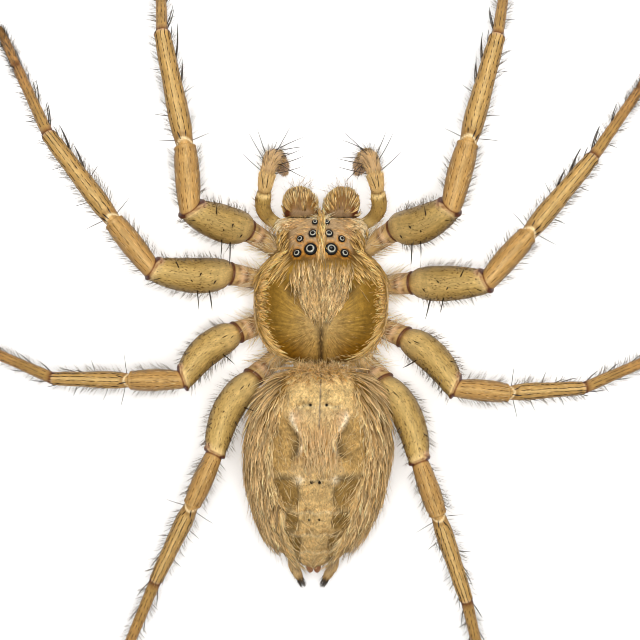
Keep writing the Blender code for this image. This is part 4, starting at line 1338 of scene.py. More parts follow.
def make_skin(hides, finishes, replaced):
    """All stretches of skin as one piece. Its map holds millimetres along and round each stretch."""
    points, faces, tints, slots, maps = [], [], [], [], []
    start = 0
    for hide in hides:
        count, size = hide.rings.shape[:2]
        quads = grid_faces(count, size, hide.flipped)
        run = run_along(hide.rings.mean(axis=1))
        girth = np.linalg.norm(np.roll(hide.rings, -1, axis=1) - hide.rings, axis=-1).sum(axis=1).mean()
        row, column = np.divmod(quads, size)
        wrapped = (column == 0) & (column.max(axis=1, keepdims=True) == size - 1)
        quad_map = np.stack([run[row], (column + size * wrapped) * girth / size], axis=-1)
        maps += [quad_map.reshape(-1, 2), np.zeros((2 * size, 2))]
        faces += (quads + start).tolist()
        faces += [[start + corner for corner in cap] for cap in end_caps(count, size, hide.flipped)]
        slots += [finishes.index(hide.finish)] * (len(quads) + 2)
        points.append(hide.rings.reshape(-1, 3))
        tints.append(np.broadcast_to(hide.tint, hide.rings.shape).reshape(-1, 3))
        start += count * size
    materials = [bpy.data.materials[name] for name in finishes]
    skin = new_piece("skin", np.concatenate(points), faces, materials, replaced)
    skin.data.polygons.foreach_set("material_index", np.array(slots, dtype=np.int32))
    lie = skin.data.uv_layers.new(name="lie")
    lie.data.foreach_set("uv", np.concatenate(maps).astype(np.float32).ravel())
    set_colours(skin.data, "tint", np.concatenate(tints))


@dataclass
class Strands:
    """A batch of hairs: middle lines, half widths at each station, tints, and the roots' places on a map.

    `ups` are the skin's normals at the roots, and `shade` is the brightness painted at a hair's root and tip:
    painted shade among the roots, painted light at the tips.
    """

    lines: np.ndarray
    widths: np.ndarray
    ups: np.ndarray
    tints: np.ndarray
    roots: np.ndarray
    shade: tuple


def varied(count, middle, spread):
    """Random numbers round a middle value, from its lower to its upper spread."""
    return middle + spread * (2 * rng.random(count) - 1)


def grow(
    hide, rows, columns, lie, length, width, lift, tints, stations=3, group=1, arch=0.0, hug=0.0, wave=0.0,
    turns=1.0, bend=0.0, sink=0.015, clump=0.7, profile=(1.0, 0.85, 0.0), shade=(0.72, 1.06),
):
    """Hairs that grow from places on a skin.

    A hair starts along lie, laid flat on the skin, and lifts off at the angle lift. At the share t of
    its length L it is at L t cos(lift) along, at L (t sin(lift) + arch t (1 - t)) - hug (L t cos(lift))^2 / 2
    up, and at wave L t (sin(2 pi turns t + phase) - sin(phase) (1 - t)) + bend L t^2 to the side. Hairs
    in a group draw together towards their tips by clump. stations is the number of points on a hair,
    profile its width from root to tip as shares of width, and sink how deep its root is.
    """
    point, normal, _ = hide.spots(rows, columns)
    count = len(point)
    lie = np.broadcast_to(lie, point.shape)
    ahead = unit(lie - np.sum(lie * normal, axis=-1, keepdims=True) * normal)
    aside = np.cross(normal, ahead)
    size, width, tilt, wave, bend = (
        np.broadcast_to(value, count)[:, None] for value in (length, width, lift, wave, bend)
    )
    t = np.linspace(0.0, 1.0, stations)[None, :]
    out = size * t * np.cos(tilt)
    up = size * (t * np.sin(tilt) + arch * t * (1 - t)) - hug * out**2 / 2
    phase = 2 * math.pi * rng.random(count // group).repeat(group)[:, None]
    swing = wave * size * t * (np.sin(2 * math.pi * turns * t + phase) - np.sin(phase) * (1 - t))
    lines = point[:, None, :] + out[..., None] * ahead[:, None, :]
    lines = lines + (up - sink)[..., None] * normal[:, None, :]
    lines = lines + (swing + bend * size * t**2)[..., None] * aside[:, None, :]
    if group > 1:
        locks = lines.reshape(count // group, group, stations, 3)
        drawn = clump * t[0][None, None, :, None]
        lines = (locks + drawn * (locks.mean(axis=1, keepdims=True) - locks)).reshape(lines.shape)
    lines[..., 2] = np.maximum(lines[..., 2], FLOOR_CLEARANCE)
    share = np.interp(np.linspace(0.0, 1.0, stations), np.linspace(0.0, 1.0, len(profile)), profile)
    size_along, size_around = hide.rings.shape[:2]
    roots = np.stack([rows / size_along, (columns / size_around) % 1.0], axis=-1)
    return Strands(lines, width * share, normal, np.broadcast_to(tints, (count, 3)), roots, shade)


def tufts(
    hide, count, density, lie_of, length, width, lift, first, second, group=1, jitter=0.6, sway=0.12,
    contrast=0.3, spread=0.3, **shape,
):
    """Hairs scattered by a density: as many as count, or as many locks of the group's size.

    lie_of gives their direction from their x and y and the skin's lengthwise direction, which is the
    direction without it. first and second are the two ends of their tints. Lock by lock, sway varies
    the direction, contrast the brightness and spread the length. jitter is how far the hairs of a
    lock stand apart, in steps of the grid.
    """
    rows, columns = hide.scatter(count, density)
    jitter = jitter * (group > 1)
    total = count * group
    rows = np.clip(rows.repeat(group) + varied(total, 0.0, jitter), 0.0, len(hide.rings) - 1.001)
    columns = columns.repeat(group) + varied(total, 0.0, jitter)
    point, normal, forward = hide.spots(rows, columns)
    lie = unit(lie_of(point[:, 0], point[:, 1], forward)) if lie_of else forward
    lie = lie + varied(count, 0.0, sway).repeat(group)[:, None] * np.cross(normal, lie)
    tint = blend(np.broadcast_to(first, (total, 3)), second, rng.random(count).repeat(group))
    tint = tint * varied(count, 1.0, contrast).repeat(group)[:, None] * varied(total, 1.0, 0.1)[:, None]
    lengths = length(point) if callable(length) else length
    lengths = lengths * varied(count, 1.0, spread).repeat(group) * varied(total, 1.0, 0.08)
    lifts = lift * varied(count, 1.0, 0.35).repeat(group)
    return grow(hide, rows, columns, lie, lengths, width, lifts, tint, group=group, **shape)


def spike_faces(rings):
    """The triangles of one closed three-sided spike: its root, its sides ring by ring, and its point."""
    faces = [(2, 1, 0)]
    for first in range(0, 3 * (rings - 1), 3):
        for j in range(3):
            k = (j + 1) % 3
            faces += [(first + j, first + k, first + 3 + k), (first + j, first + 3 + k, first + 3 + j)]
    last = 3 * (rings - 1)
    return np.array(faces + [(last + j, last + (j + 1) % 3, last + 3) for j in range(3)])


def make_coat(name, batches, material):
    """One coat piece from batches of hairs, each hair a closed three-sided spike.

    Every hair has a patch of its own on the map OFBake, at its root's place on the skin laid out flat.
    """
    points, faces, tints, maps = [], [], [], []
    angle = np.array([0.5, 0.5 + 2 / 3, 0.5 + 4 / 3])[:, None] * math.pi
    start = 0
    for batch in batches:
        count, stations = batch.lines.shape[:2]
        rings = stations - 1
        size = 3 * rings + 1
        axis = unit(np.gradient(batch.lines, axis=1))
        side = unit(np.cross(axis, batch.ups[:, None, :]))
        up = np.cross(side, axis)
        around = np.cos(angle) * side[:, :rings, None, :] + np.sin(angle) * up[:, :rings, None, :]
        ring = batch.lines[:, :rings, None, :] + batch.widths[:, :rings, None, None] * around
        spikes = np.concatenate([ring.reshape(count, 3 * rings, 3), batch.lines[:, -1:, :]], axis=1)
        points.append(spikes.reshape(-1, 3))
        first = (start + size * np.arange(count))[:, None, None]
        faces.append((spike_faces(rings) + first).reshape(-1, 3))
        share = np.append(np.repeat(np.arange(rings) / rings, 3), 1.0)
        across = np.append(np.tile([0.0, 0.5, 1.0], rings), 0.5)
        # Painted shade darkens and warms each hair towards its root, and painted light brightens its tip
        light = batch.shade[0] + (batch.shade[1] - batch.shade[0]) * share
        root_shade_tint = ROOT_SHADE_TINT ** (1 - share[:, None])
        tints.append((batch.tints[:, None, :] * light[:, None] * root_shade_tint).reshape(-1, 3))
        spots = batch.roots[:, None, :] * (1 - 2 * HAIR_PATCH) + HAIR_PATCH
        spots = spots + HAIR_PATCH * np.stack([share - 0.5, across - 0.5], axis=-1)
        maps.append(spots.reshape(-1, 2))
        start += size * count
    points = to_frame(np.concatenate(points)).astype(np.float32)
    faces = np.concatenate(faces).astype(np.int32)
    mesh = bpy.data.meshes.new(name)
    mesh.vertices.add(len(points))
    mesh.vertices.foreach_set("co", points.ravel())
    mesh.loops.add(faces.size)
    mesh.loops.foreach_set("vertex_index", faces.ravel())
    mesh.polygons.add(len(faces))
    mesh.polygons.foreach_set("loop_start", np.arange(0, faces.size, 3, dtype=np.int32))
    mesh.update(calc_edges=True)
    layer = mesh.uv_layers.new(name="OFBake")
    layer.data.foreach_set("uv", np.concatenate(maps)[faces.ravel()].astype(np.float32).ravel())
    set_colours(mesh, "tint", np.concatenate(tints))
    add_piece(name, mesh, [material])


def lying(outwards=0.0, across=0.0, loose=0.0, backwards=1.0, upwards=0.0):
    """The direction of hairs on both sides of the body.

    x is outwards times the side's sign, plus across times x, plus a random number of the size of loose.
    """

    def lie(x, y, forward):
        aside = outwards * np.sign(x) + across * x
        if loose:
            aside = aside + varied(len(x), 0.0, loose)
        return wide(aside, backwards, upwards)

    return lie


def abdomen_coat(hide, fibre):
    """Long wavy locks on the flanks, a nap on the back, pale hair through the waist, and a rear fringe."""
    x, y, z = hide.places()
    marks = abdomen_marks(x, y, z)
    left = x - abdomen_middle_x(y)
    out = np.abs(left)
    height = z - eased(ABDOMEN_Z, y)

    def wavy(x, y, forward):
        sway = 0.22 * np.sin(2.3 * y + 2.6 * x) + 0.12 * np.sin(5.1 * y - 3.0 * x)
        return forward + sway[:, None] * OUTWARDS

    def leaning_in(along, inwards):
        def lie(x, y, forward):
            side = np.sign(x - abdomen_middle_x(y))[:, None]
            return along * forward - inwards * side * OUTWARDS

        return lie

    def gathered(pull):
        return lambda x, y, forward: wide(pull * (x - abdomen_middle_x(y)), 1.0, 0.0)

    def reach(point):
        return 1.65 - 1.30 * smooth_step(10.4, 12.2, point[:, 1])

    tip = smooth_step(11.3, 11.9, y) * smooth_step(1.35, 0.95, out) * smooth_step(-0.5, 0.1, height)
    for name, side in SIDES:
        own = side * left > 0
        low = 0.25 + 0.75 * smooth_step(-1.6, 0.2, height)
        flank = tufts(
            hide, 1180, marks.flank * own * low * (1 - tip), wavy, reach, 0.020, 0.14, FLANK_TAN, FLANK_PALE,
            stations=6, group=5, jitter=1.0, clump=0.90, wave=0.06, turns=1.8, hug=0.13, arch=0.09,
            sway=0.07, contrast=0.40, profile=LOCK_PROFILE, sink=0.02, shade=(0.28, 1.08),
        )
        shore = bell(out, eased(FLANK_START, y) + 0.08, 0.13) * own * smooth_step(3.3, 4.5, y) * (height > 0)
        overhang = tufts(
            hide, 240, shore * (1 - tip), leaning_in(1.0, 0.45), 0.95, 0.022, 0.22, PALE, STRAW,
            stations=5, group=3, jitter=0.9, clump=0.85, wave=0.08, hug=0.08, arch=0.10,
            contrast=0.2, profile=LOCK_PROFILE, shade=(0.5, 1.1), sway=0.3,
        )
        make_coat(f"coat_abdomen_{name}", [flank, overhang], fibre)
    field = 1 - marks.flank
    clearing = np.maximum.reduce([abdomen_marks(x, y + 0.08 * step, z).dot for step in range(5)])
    bare = np.clip(1 - marks.dot - 0.3 * marks.edge - marks.line, 0.0, 1.0)
    cover = field * np.clip(bare - 4 * clearing, 0.0, 1.0) * (1 - 0.5 * marks.block)
    nap = tufts(
        hide, 4200, cover * smooth_step(-0.5, 0.3, height), None, 0.20, 0.012, 0.22, FIELD, BAND,
        contrast=0.40, sway=0.8,
    )
    # The nap takes the skin's colour, with its painted shade, times a random brightness
    nap.tints = abdomen_tint(nap.lines[:, 0]) * (0.52 + 0.92 * rng.random(len(nap.lines)))[:, None]
    shoulder = marks.band * bell(y, 5.80, 0.38) * smooth_step(1.25, 0.9, out)
    gather = tufts(
        hide, 74, shoulder, gathered(-0.26), 1.35, 0.016, 0.12, PALE * 0.95, WAIST_PALE,
        stations=6, group=3, jitter=0.7, clump=0.92, wave=0.06, turns=1.3, arch=0.05, hug=0.05,
        contrast=0.2, shade=(0.70, 1.08), sway=0.06,
    )
    waist = marks.band * bell(y, 6.9, 0.50) * smooth_step(1.0, 0.5, out)
    fan = tufts(
        hide, 66, waist, gathered(-0.10), 1.25, 0.015, 0.12, PALE * 0.95, WAIST_PALE,
        stations=6, group=3, jitter=0.7, clump=0.92, wave=0.08, turns=1.3, arch=0.05, hug=0.08,
        contrast=0.25, shade=(0.65, 1.08), sway=0.12,
    )
    open_back = field * (1 - 0.75 * marks.band) * smooth_step(3.4, 5.4, y) * smooth_step(0.0, 0.8, height)
    stray = tufts(
        hide, 300, open_back, leaning_in(0.8, 0.7), 0.60, 0.015, 0.28, PALE, PALE * 0.85,
        stations=5, bend=varied(300, 0.0, 0.4), arch=0.12, contrast=0.2, sway=0.5,
    )
    brow = tufts(
        hide, 460, smooth_step(3.9, 3.0, y) * (z > 3.7), lying(loose=0.45, upwards=0.3), 0.60, 0.016, 0.30,
        GOLD * 1.1, WARM_PALE, stations=5, group=2, arch=0.2, contrast=0.3, shade=(0.55, 1.1), sway=0.4,
    )
    collar = tufts(
        hide, 170, smooth_step(3.5, 3.0, y) * (z > 2.9), lying(loose=0.8, backwards=-1.0, upwards=0.35),
        0.60, 0.014, 0.85, STRAW * 0.9, WARM_PALE, stations=5, group=2, bend=varied(340, 0.0, 0.5),
        contrast=0.3, sway=0.5, hug=0.6, shade=(0.7, 1.1),
    )
    shoulders = bell(out, 1.65, 0.45) * smooth_step(3.8, 3.4, y) * (z > 2.6)
    shoulder_hair = tufts(
        hide, 110, shoulders, lying(0.35, loose=0.5, backwards=-1.0), 0.85, 0.022, 0.10,
        STRAW * 0.8, PALE * 0.85, stations=5, group=3, jitter=0.8, hug=0.5, arch=0.05, contrast=0.3,
        sway=0.4, shade=(0.45, 1.1),
    )
    outline = bell(height, 0.0, 0.9) * (0.15 + smooth_step(5.0, 10.5, y)) * smooth_step(0.3, 0.9, out)
    fringe = tufts(
        hide, 620, outline, None, 0.95, 0.0085, 0.42, GREY_HAIR * 1.5, STRAW * 0.6, stations=5,
        spread=0.45, bend=varied(620, 0.0, 0.12), sway=0.2, shade=(0.9, 1.1),
    )
    batches = [nap, gather, fan, stray, brow, collar, shoulder_hair, fringe]
    make_coat("coat_abdomen_back", batches, fibre)


def head_coat(hide, fibre):
    """Golden hair on the head and the carapace.

    The head has side bands, front tufts, a strip between the eyes and a crest. The carapace has a wedge
    behind the eyes, a halo round the fovea, a comb that leans in from the margin, and rear hair.
    """
    x, y, z = hide.places()
    out = np.abs(x)
    top = smooth_step(MARGIN_Z, MARGIN_Z + 0.25, z)
    clear = top.copy()
    for _, eye_x, eye_y, radius in EYES:
        clear *= smooth_step(1.05 * radius, 1.35 * radius, eye_distance(x, y, eye_x, eye_y))
    edge = carapace_half_width(y) - out
    bands = clear * smooth_step(1.30, 1.60, out) * between(y, -4.4, -4.2, -1.9, -1.3)
    bands = bands + 0.7 * clear * bell(out, 1.95, 0.45) * bell(y, -1.9, 0.7) * (out > 1.35)
    side_bands = tufts(
        hide, 400, bands, lying(0.75), 0.66, 0.021, 0.15, GOLD * 0.85, SIDE_GOLD,
        stations=5, group=4, clump=0.88, jitter=0.7, hug=0.25, arch=0.06, contrast=0.42,
        shade=(0.20, 1.12), sway=0.07, profile=LOCK_PROFILE,
    )
    front = clear * smooth_step(-3.2, -3.9, y) * smooth_step(0.30, 0.7, out)
    front_tufts = tufts(
        hide, 330, front, lambda x, y, forward: wide(np.sign(x), 0.25 + 0.35 * (np.abs(x) - 1.0), 0.0),
        0.46, 0.015, 0.14, FRONT_BROWN, FRONT_PALE, stations=4, group=3, clump=0.8, hug=0.45,
        contrast=0.38, shade=(0.30, 1.18),
    )
    corner_tufts = tufts(
        hide, 110, clear * patch(out, y, (1.85, -4.25), (0.28, 0.28)),
        lambda x, y, forward: wide(np.sign(x), -0.4 + 1.8 * smooth_step(1.7, 2.05, np.abs(x)), 0.0),
        0.50, 0.020, 0.22, PALE, FLUFF, stations=5, group=3, hug=0.8, arch=0.15, contrast=0.15,
    )
    strip = clear * smooth_step(0.30, 0.15, out) * smooth_step(-2.0, -2.6, y)
    strip_hair = tufts(
        hide, 130, strip, lying(across=-0.5, backwards=-1.0), 0.78, 0.019, 0.13, PALE, GOLD * 1.1,
        stations=5, group=3, clump=0.85, jitter=0.8, wave=0.08, arch=0.08, contrast=0.40,
        shade=(0.5, 1.2), sway=0.12,
    )
    crest_hair = tufts(
        hide, 150, clear * patch(x, y, (0.0, -4.30), (0.17, 0.17)), lying(loose=1.2, backwards=-1.0),
        0.70, 0.013, 0.12, FLUFF, PALE * 0.8, stations=5, bend=varied(150, 0.0, 0.3), arch=0.1, hug=0.4,
    )
    wedge = clear * (0.45 + 0.55 * smooth_step(-2.2, -1.2, y)) * between(y, -2.75, -2.3, -0.15, 0.10)
    wedge = wedge * smooth_step(0.30, -0.25, out - eased(WEDGE_HALF, y))
    wedge_hair = tufts(
        hide, 520, wedge,
        lambda x, y, forward: wide(-(0.12 + 0.45 * smooth_step(-1.4, 0.0, y)) * x, 1.0, 0.0),
        0.98, 0.017, 0.11, STRAW * 0.9, WARM_PALE, stations=5, group=3, clump=0.88, jitter=0.7,
        wave=0.07, hug=0.06, arch=0.04, contrast=0.42, shade=(0.34, 1.12),
        profile=(0.6, 1.0, 0.9, 0.6, 0.0), sway=0.08, turns=1.4,
    )
    ring = bell(np.hypot(x, y - 1.0), 0.6, 0.7) * between(y, -0.9, -0.3, 1.6, 2.3)
    halo = tufts(
        hide, 420, clear * ring, lambda x, y, forward: wide(x - 0.03, y - 0.6, 0.0),
        0.40, 0.008, 0.10, STRAW, OLIVE * 0.8, hug=0.2, contrast=0.5,
    )
    comb = tufts(
        hide, 340, top * bell(edge, 0.26, 0.07) * between(y, -3.0, -2.3, 1.9, 2.5),
        lambda x, y, forward: wide(-np.sign(x), 0.05 + 0.55 * smooth_step(0.3, 2.2, y), 0.3),
        0.74, 0.020, 0.10, COMB_GOLD, COMB_PALE, stations=5, group=3, clump=0.92, jitter=0.45,
        bend=varied(1020, 0.0, 0.25), arch=0.06, hug=0.22, contrast=0.30, shade=(0.55, 1.16),
        sway=0.20, spread=0.3,
    )
    under = tufts(
        hide, 520, top * bell(edge, 0.38, 0.22) * between(y, -2.5, -1.4, 1.4, 2.5),
        lying(-1.0, backwards=0.30, upwards=0.2), 0.34, 0.016, 0.16, GOLD, STRAW,
        stations=4, group=2, hug=0.2, contrast=0.4, shade=(0.45, 1.10), sway=0.3,
    )
    brim = smooth_step(1.3, 1.9, y) * smooth_step(2.3, 2.7, z) * smooth_step(0.25, 0.10, edge)
    rear = tufts(
        hide, 420, brim, lying(across=0.2, loose=0.5, upwards=0.1), 0.55, 0.018, 0.18, GOLD * 0.9, PALE,
        stations=5, group=2, hug=0.6, contrast=0.3, bend=varied(840, 0.0, 0.4),
    )
    fields = tufts(
        hide, 1100, clear * smooth_step(-1.6, -0.6, y) * smooth_step(0.5, 0.9, edge),
        lambda x, y, forward: wide(x, y - 1.0, 0.0), 0.24, 0.006, 0.08, OLIVE, DEEP_OLIVE, contrast=0.4,
    )
    tail = tufts(
        hide, 22, top * bell(y, 2.45, 0.12) * between(out, 0.15, 0.3, 1.0, 1.4),
        lying(0.9, backwards=0.5, upwards=0.3), 0.48, 0.012, 0.5, PALE, GOLD,
        stations=6, arch=0.3, bend=0.3, sway=0.8,
    )
    make_coat("coat_head", [side_bands, front_tufts, corner_tufts, strip_hair, crest_hair], fibre)
    make_coat("coat_carapace", [wedge_hair, halo, comb, under, rear, fields, tail], fibre)


def chelicera_coat(hides, fibre):
    """Golden strands that run forward and down over each chelicera, with long fine hairs at the front."""
    batches = []
    for side, hide in hides:
        x, y, z = hide.places()
        bald = smooth_step(-4.98, -4.76, y) * smooth_step(2.2, 2.8, z)
        inner = smooth_step(0.50, 0.25, side * x) * smooth_step(2.3, 2.7, z)
        front = smooth_step(-5.4, -5.8, y) * smooth_step(1.6, 2.4, z)

        def over_gap(x, y, forward):
            return wide(-side * varied(len(x), 1.0, 0.3), varied(len(x), -0.5, 0.7), 0.2)

        def over_face(x, y, forward):
            return wide(-side * varied(len(x), 0.4, 0.7), -0.7, varied(len(x), 0.1, 0.5))

        batches += [
            tufts(
                hide, 520, (1 - 0.65 * bald) * smooth_step(1.5, 2.2, z),
                lambda x, y, forward: wide(0.25 * (x - side * CHELICERA_X), -1.0, -0.9),
                0.50, 0.018, 0.18, GOLD * 0.95, PALE, stations=4, group=4, jitter=0.8, clump=0.88,
                hug=0.5, contrast=0.35, shade=(0.28, 1.18), sway=0.08,
            ),
            tufts(
                hide, 90, inner, over_gap, 0.34, 0.012, 0.4, PALE * 0.8, FLUFF, stations=5,
                bend=varied(90, 0.0, 0.5), arch=0.1, shade=(0.6, 1.15), sway=0.3,
            ),
            tufts(
                hide, 46, front, over_face, 0.95, 0.0065, 0.70, GREY_HAIR * 1.6, STRAW * 0.6, stations=6,
                bend=-side * varied(46, 0.35, 0.3), spread=0.4,
            ),
        ]
    make_coat("coat_chelicerae", batches, fibre)


def limb_batches(hide):
    """The coat of one leg: dashes on the femur, rows of setae, a standing fringe, fluff at its base."""
    s = hide.parts()
    around = np.arange(hide.rings.shape[1]) / hide.rings.shape[1]
    edges = (bell(around, 0.25, 0.07) + bell(around, 0.75, 0.07)) * np.ones_like(s)
    femur = between(s, 1.04, 1.1, 1.92, 1.96)
    middle = between(s, 2.03, 2.06, 2.9, 2.95) + between(s, 3.06, 3.09, 3.92, 3.96)
    foot = smooth_step(4.02, 4.06, s)
    coxa = between(s, 0.20, 0.35, 0.68, 0.78)
    outer = femur * (0.15 + 0.85 * smooth_step(1.15, 1.5, s))
    return [
        tufts(
            hide, 460, outer, None, 0.13, 0.014, 0.12, DARK_HAIR * 1.3, BROWN,
            contrast=0.3, sink=0.0, sway=0.15,
        ),
        tufts(hide, 200, femur, None, 0.24, 0.008, 0.15, FEMUR_PALE, STRAW, sway=0.3),
        tufts(hide, 420, middle, None, 0.40, 0.011, 0.10, PALE * 0.95, BROWN * 1.6, contrast=0.35),
        setae_rows(hide, 2.08, 2.92, (0.43, 0.53, 0.60), 9, 0.30, 0.015, BROWN * 0.6),
        setae_rows(hide, 3.12, 3.95, (0.37, 0.45, 0.53, 0.63), 16, 0.32, 0.019, DARK_HAIR),
        setae_rows(hide, 4.06, 4.60, (0.40, 0.50, 0.60), 12, 0.32, 0.018, DARK_HAIR),
        tufts(hide, 230, foot, None, 0.30, 0.010, 0.16, STRAW * 0.8, BROWN * 1.2),
        tufts(
            hide, 720, (femur + 1.8 * middle + 2.4 * foot) * edges, None, 0.60, 0.0095, 0.85,
            GREY_HAIR * 1.8, GREY_HAIR * 1.1, stations=5, spread=0.3, arch=-0.1, sway=0.15, bend=0.1,
            shade=(0.9, 1.1),
        ),
        tufts(
            hide, 420, foot * smooth_step(4.35, 4.8, s), None, 0.34, 0.010, 0.50,
            GREY_HAIR * 0.8, DARK_HAIR, stations=4,
        ),
        tufts(
            hide, 200, coxa, None, 0.85, 0.011, 0.60, FLUFF, FLUFF_TAN, spread=0.45, sway=0.9,
            stations=5, arch=0.25, bend=0.15, shade=(0.9, 1.15),
        ),
    ]


def setae_rows(hide, first, last, turns, count, length, width, colour):
    """Rows of short dark hairs end to end along a leg, at these turns from underneath."""
    total = count * len(turns)
    ends = np.interp([first, last], hide.along, np.arange(len(hide.along)))
    rows = np.tile(np.linspace(ends[0], ends[1], count), len(turns)) + varied(total, 0.0, 0.4)
    columns = np.repeat(np.array(turns) * hide.rings.shape[1], count) + varied(total, 0.0, 0.16)
    _, _, forward = hide.spots(rows, columns)
    tint = colour * varied(total, 1.0, 0.3)[:, None]
    return grow(hide, rows, columns, forward, length * varied(total, 1.0, 0.3), width, 0.10, tint, sink=0.002)


def bristle(hide, along, around, length, width, lift, sway, colour, bend=0.0, arch=0.12):
    """One stout bristle at a named place on a leg. `around` is counted in turns from underneath."""
    row = np.array([np.interp(along, hide.along, np.arange(len(hide.along)))])
    column = np.array([around * hide.rings.shape[1]])
    _, normal, forward = hide.spots(row, column)
    return grow(
        hide, row, column, forward + sway * np.cross(normal, forward), length, width, lift, colour,
        stations=7, arch=arch, bend=bend, profile=(1.0, 1.0, 0.88, 0.62, 0.0), sink=0.03, shade=(1.0, 1.0),
    )


def leg_spines(hide, stance):
    """The black spines and the long feeling hairs of one leg, a little different from leg to leg."""
    side = stance.side
    spines = []
    for along, turn, length, width, lift, lean in FRONT_BRISTLES if stance.pair <= 2 else REAR_BRISTLES:
        size = length * varied(1, 1.0, 0.12)[0]
        place = along + varied(1, 0.0, 0.015)[0]
        dark = DARK_HAIR * 0.7
        spines.append(bristle(hide, place, 0.5 - side * turn, size, width, lift, side * lean, dark, 0.05))
    feelers = []
    for along, turn, length in FEELERS:
        grey = GREY_HAIR * 0.5
        bend = varied(1, 0.0, 0.2)
        feelers.append(bristle(hide, along, 0.5 - side * turn, length, 0.020, 1.25, 0.0, grey, bend, 0.05))
    return spines, feelers


def palp_coat(hides, fibre, spine):
    """The palps: dark lines on the femur, pale nap on the patella, a dense brush and bristles beyond it."""
    batches = []
    bristles = []
    knee, wrist, tarsus = (PALP_PARTS * stop for stop in palp_stops())
    for side, hide in hides:
        s = hide.parts()
        femur = between(s, 0.35, 0.6, knee - 0.05, knee)
        patella = between(s, knee, knee + 0.08, wrist - 0.06, wrist)
        brush = smooth_step(wrist, wrist + 0.05, s)
        end = smooth_step(tarsus - 0.1, tarsus + 0.1, s)
        tibia = brush * smooth_step(tarsus + 0.2, tarsus, s)
        for count, density, length, width, lift, first, second in (
            (120, femur, 0.24, 0.013, 0.15, DARK_HAIR, BROWN),
            (130, femur + patella, 0.45, 0.008, 0.75, GREY_HAIR * 1.5, STRAW),
            (190, patella, 0.30, 0.011, 0.15, STRAW, PALE),
            (320, brush, 0.26, 0.012, 0.32, STRAW, PALE * 0.85),
            (80, brush, 0.27, 0.010, 0.32, BROWN * 1.3, DARK_HAIR * 1.5),
            (420, end, 0.20, 0.010, 0.6, PALP_HAIR, GREY_HAIR * 3.0),
            (130, tibia, 0.60, 0.008, 0.9, GREY_HAIR, DARK_HAIR * 1.5),
        ):
            batches.append(tufts(hide, count, density, None, length, width, lift, first, second, stations=4))
        for along, around, length, lift, sway in (
            (wrist + 0.02, 0.26, 1.25, 0.95, 0.0), (wrist + 0.02, 0.74, 1.25, 0.95, 0.0),
            (wrist + 0.22, 0.29, 1.30, 0.80, 0.1), (wrist + 0.24, 0.71, 1.35, 0.80, -0.1),
            (wrist + 0.36, 0.27, 1.20, 1.00, 0.1), (wrist + 0.38, 0.74, 1.25, 0.90, -0.1),
            (wrist + 0.30, 0.50, 1.75, 0.30, 0.1), (wrist + 0.40, 0.42, 1.45, 0.35, 0.3),
            (wrist + 0.42, 0.60, 1.40, 0.40, -0.4), (wrist + 0.55, 0.66, 1.20, 0.60, -0.5),
            (knee + 0.10, 0.46, 0.95, 0.25, 0.05), (wrist - 0.30, 0.53, 0.85, 0.22, 0.1),
        ):
            size = 1.25 * length * varied(1, 1.0, 0.12)[0]
            bristles.append(bristle(hide, along, around, size, 0.022, lift, sway, DARK_HAIR, 0.05))
    make_coat("coat_palps", batches, fibre)
    make_coat("bristles_palps", bristles, spine)


def spinneret_coat(hides, fibre):
    """Short hair along the long spinnerets, darker and tufted at their tips."""
    batches = []
    for _, hide in hides:
        s = hide.parts()
        tip = smooth_step(0.75, 0.95, s)
        even = np.full_like(s, 0.4)
        batches += [
            tufts(hide, 80, even, None, 0.24, 0.010, 0.14, STRAW, PALE * 0.8, stations=4),
            tufts(hide, 60, even, None, 0.26, 0.011, 0.12, BROWN, DARK_HAIR * 1.5, stations=4),
            tufts(hide, 80, tip, None, 0.38, 0.012, 0.45, DARK_HAIR, GREY_HAIR, stations=4),
        ]
    make_coat("coat_spinnerets", batches, fibre)


def make_eyes(front, finish):
    """Ten eyes, each turned about its own axis: a clear dome inside a dark raised rim, on the head's skin.

    Height over the skin at the share r of the radius is 0.42 sqrt(1 - (r/0.80)^2) on the dome and
    0.20 sqrt(1 - ((r - 0.84)/0.17)^2) on the rim, both times the radius.
    """
    points = front.rings.reshape(-1, 3)
    normals = front.normals.reshape(-1, 3)
    share = np.concatenate([[0.004], np.linspace(0.06, 0.78, 13), np.linspace(0.80, 1.0, 8), [1.0]])
    dome = 0.42 * np.sqrt(np.clip(1 - (share / 0.80) ** 2, 0.0, 1.0))
    rim = 0.20 * np.sqrt(np.clip(1 - ((share - 0.84) / 0.17) ** 2, 0.0, 1.0))
    height = np.maximum(dome, rim)
    height[-1] = -0.35
    angle = np.arange(28) * 2 * math.pi / 28
    for place, eye_x, eye_y, radius in EYES:
        for name, side in SIDES:
            seat = np.array([HEAD_MIDDLE_X + side * eye_x, eye_y])
            distance = np.hypot(*(points[:, :2] - seat).T) + 10 * (points[:, 2] < MARGIN_Z)
            near = np.argsort(distance)[:6]
            normal = unit(normals[near].mean(axis=0))
            middle = np.array([*seat, points[near, 2].mean() + 0.04 * radius])
            across = unit(np.cross(normal, REARWARDS))
            circle = np.cos(angle)[:, None] * across + np.sin(angle)[:, None] * np.cross(across, normal)
            rings = middle + radius * (share[:, None, None] * circle + height[:, None, None] * normal)
            rings = rings.reshape(-1, 3)
            faces = grid_faces(len(share), len(angle), False)
            centre = rings[faces].mean(axis=1)
            corner = rings[faces[:, :3]]
            facing = np.cross(corner[:, 1] - corner[:, 0], corner[:, 2] - corner[:, 0])
            if np.sum(facing * (centre - middle + 0.5 * radius * normal)) < 0:
                faces = faces[:, ::-1]
            full_name = f"{place}_{name}"
            eye = new_piece(f"lens_{full_name}", rings, faces.tolist(), [finish], [f"eye_{full_name}"])
            radial = eye.data.attributes.new("radial", "FLOAT", "POINT")
            radial.data.foreach_set("value", np.repeat(share, len(angle)).astype(np.float32))


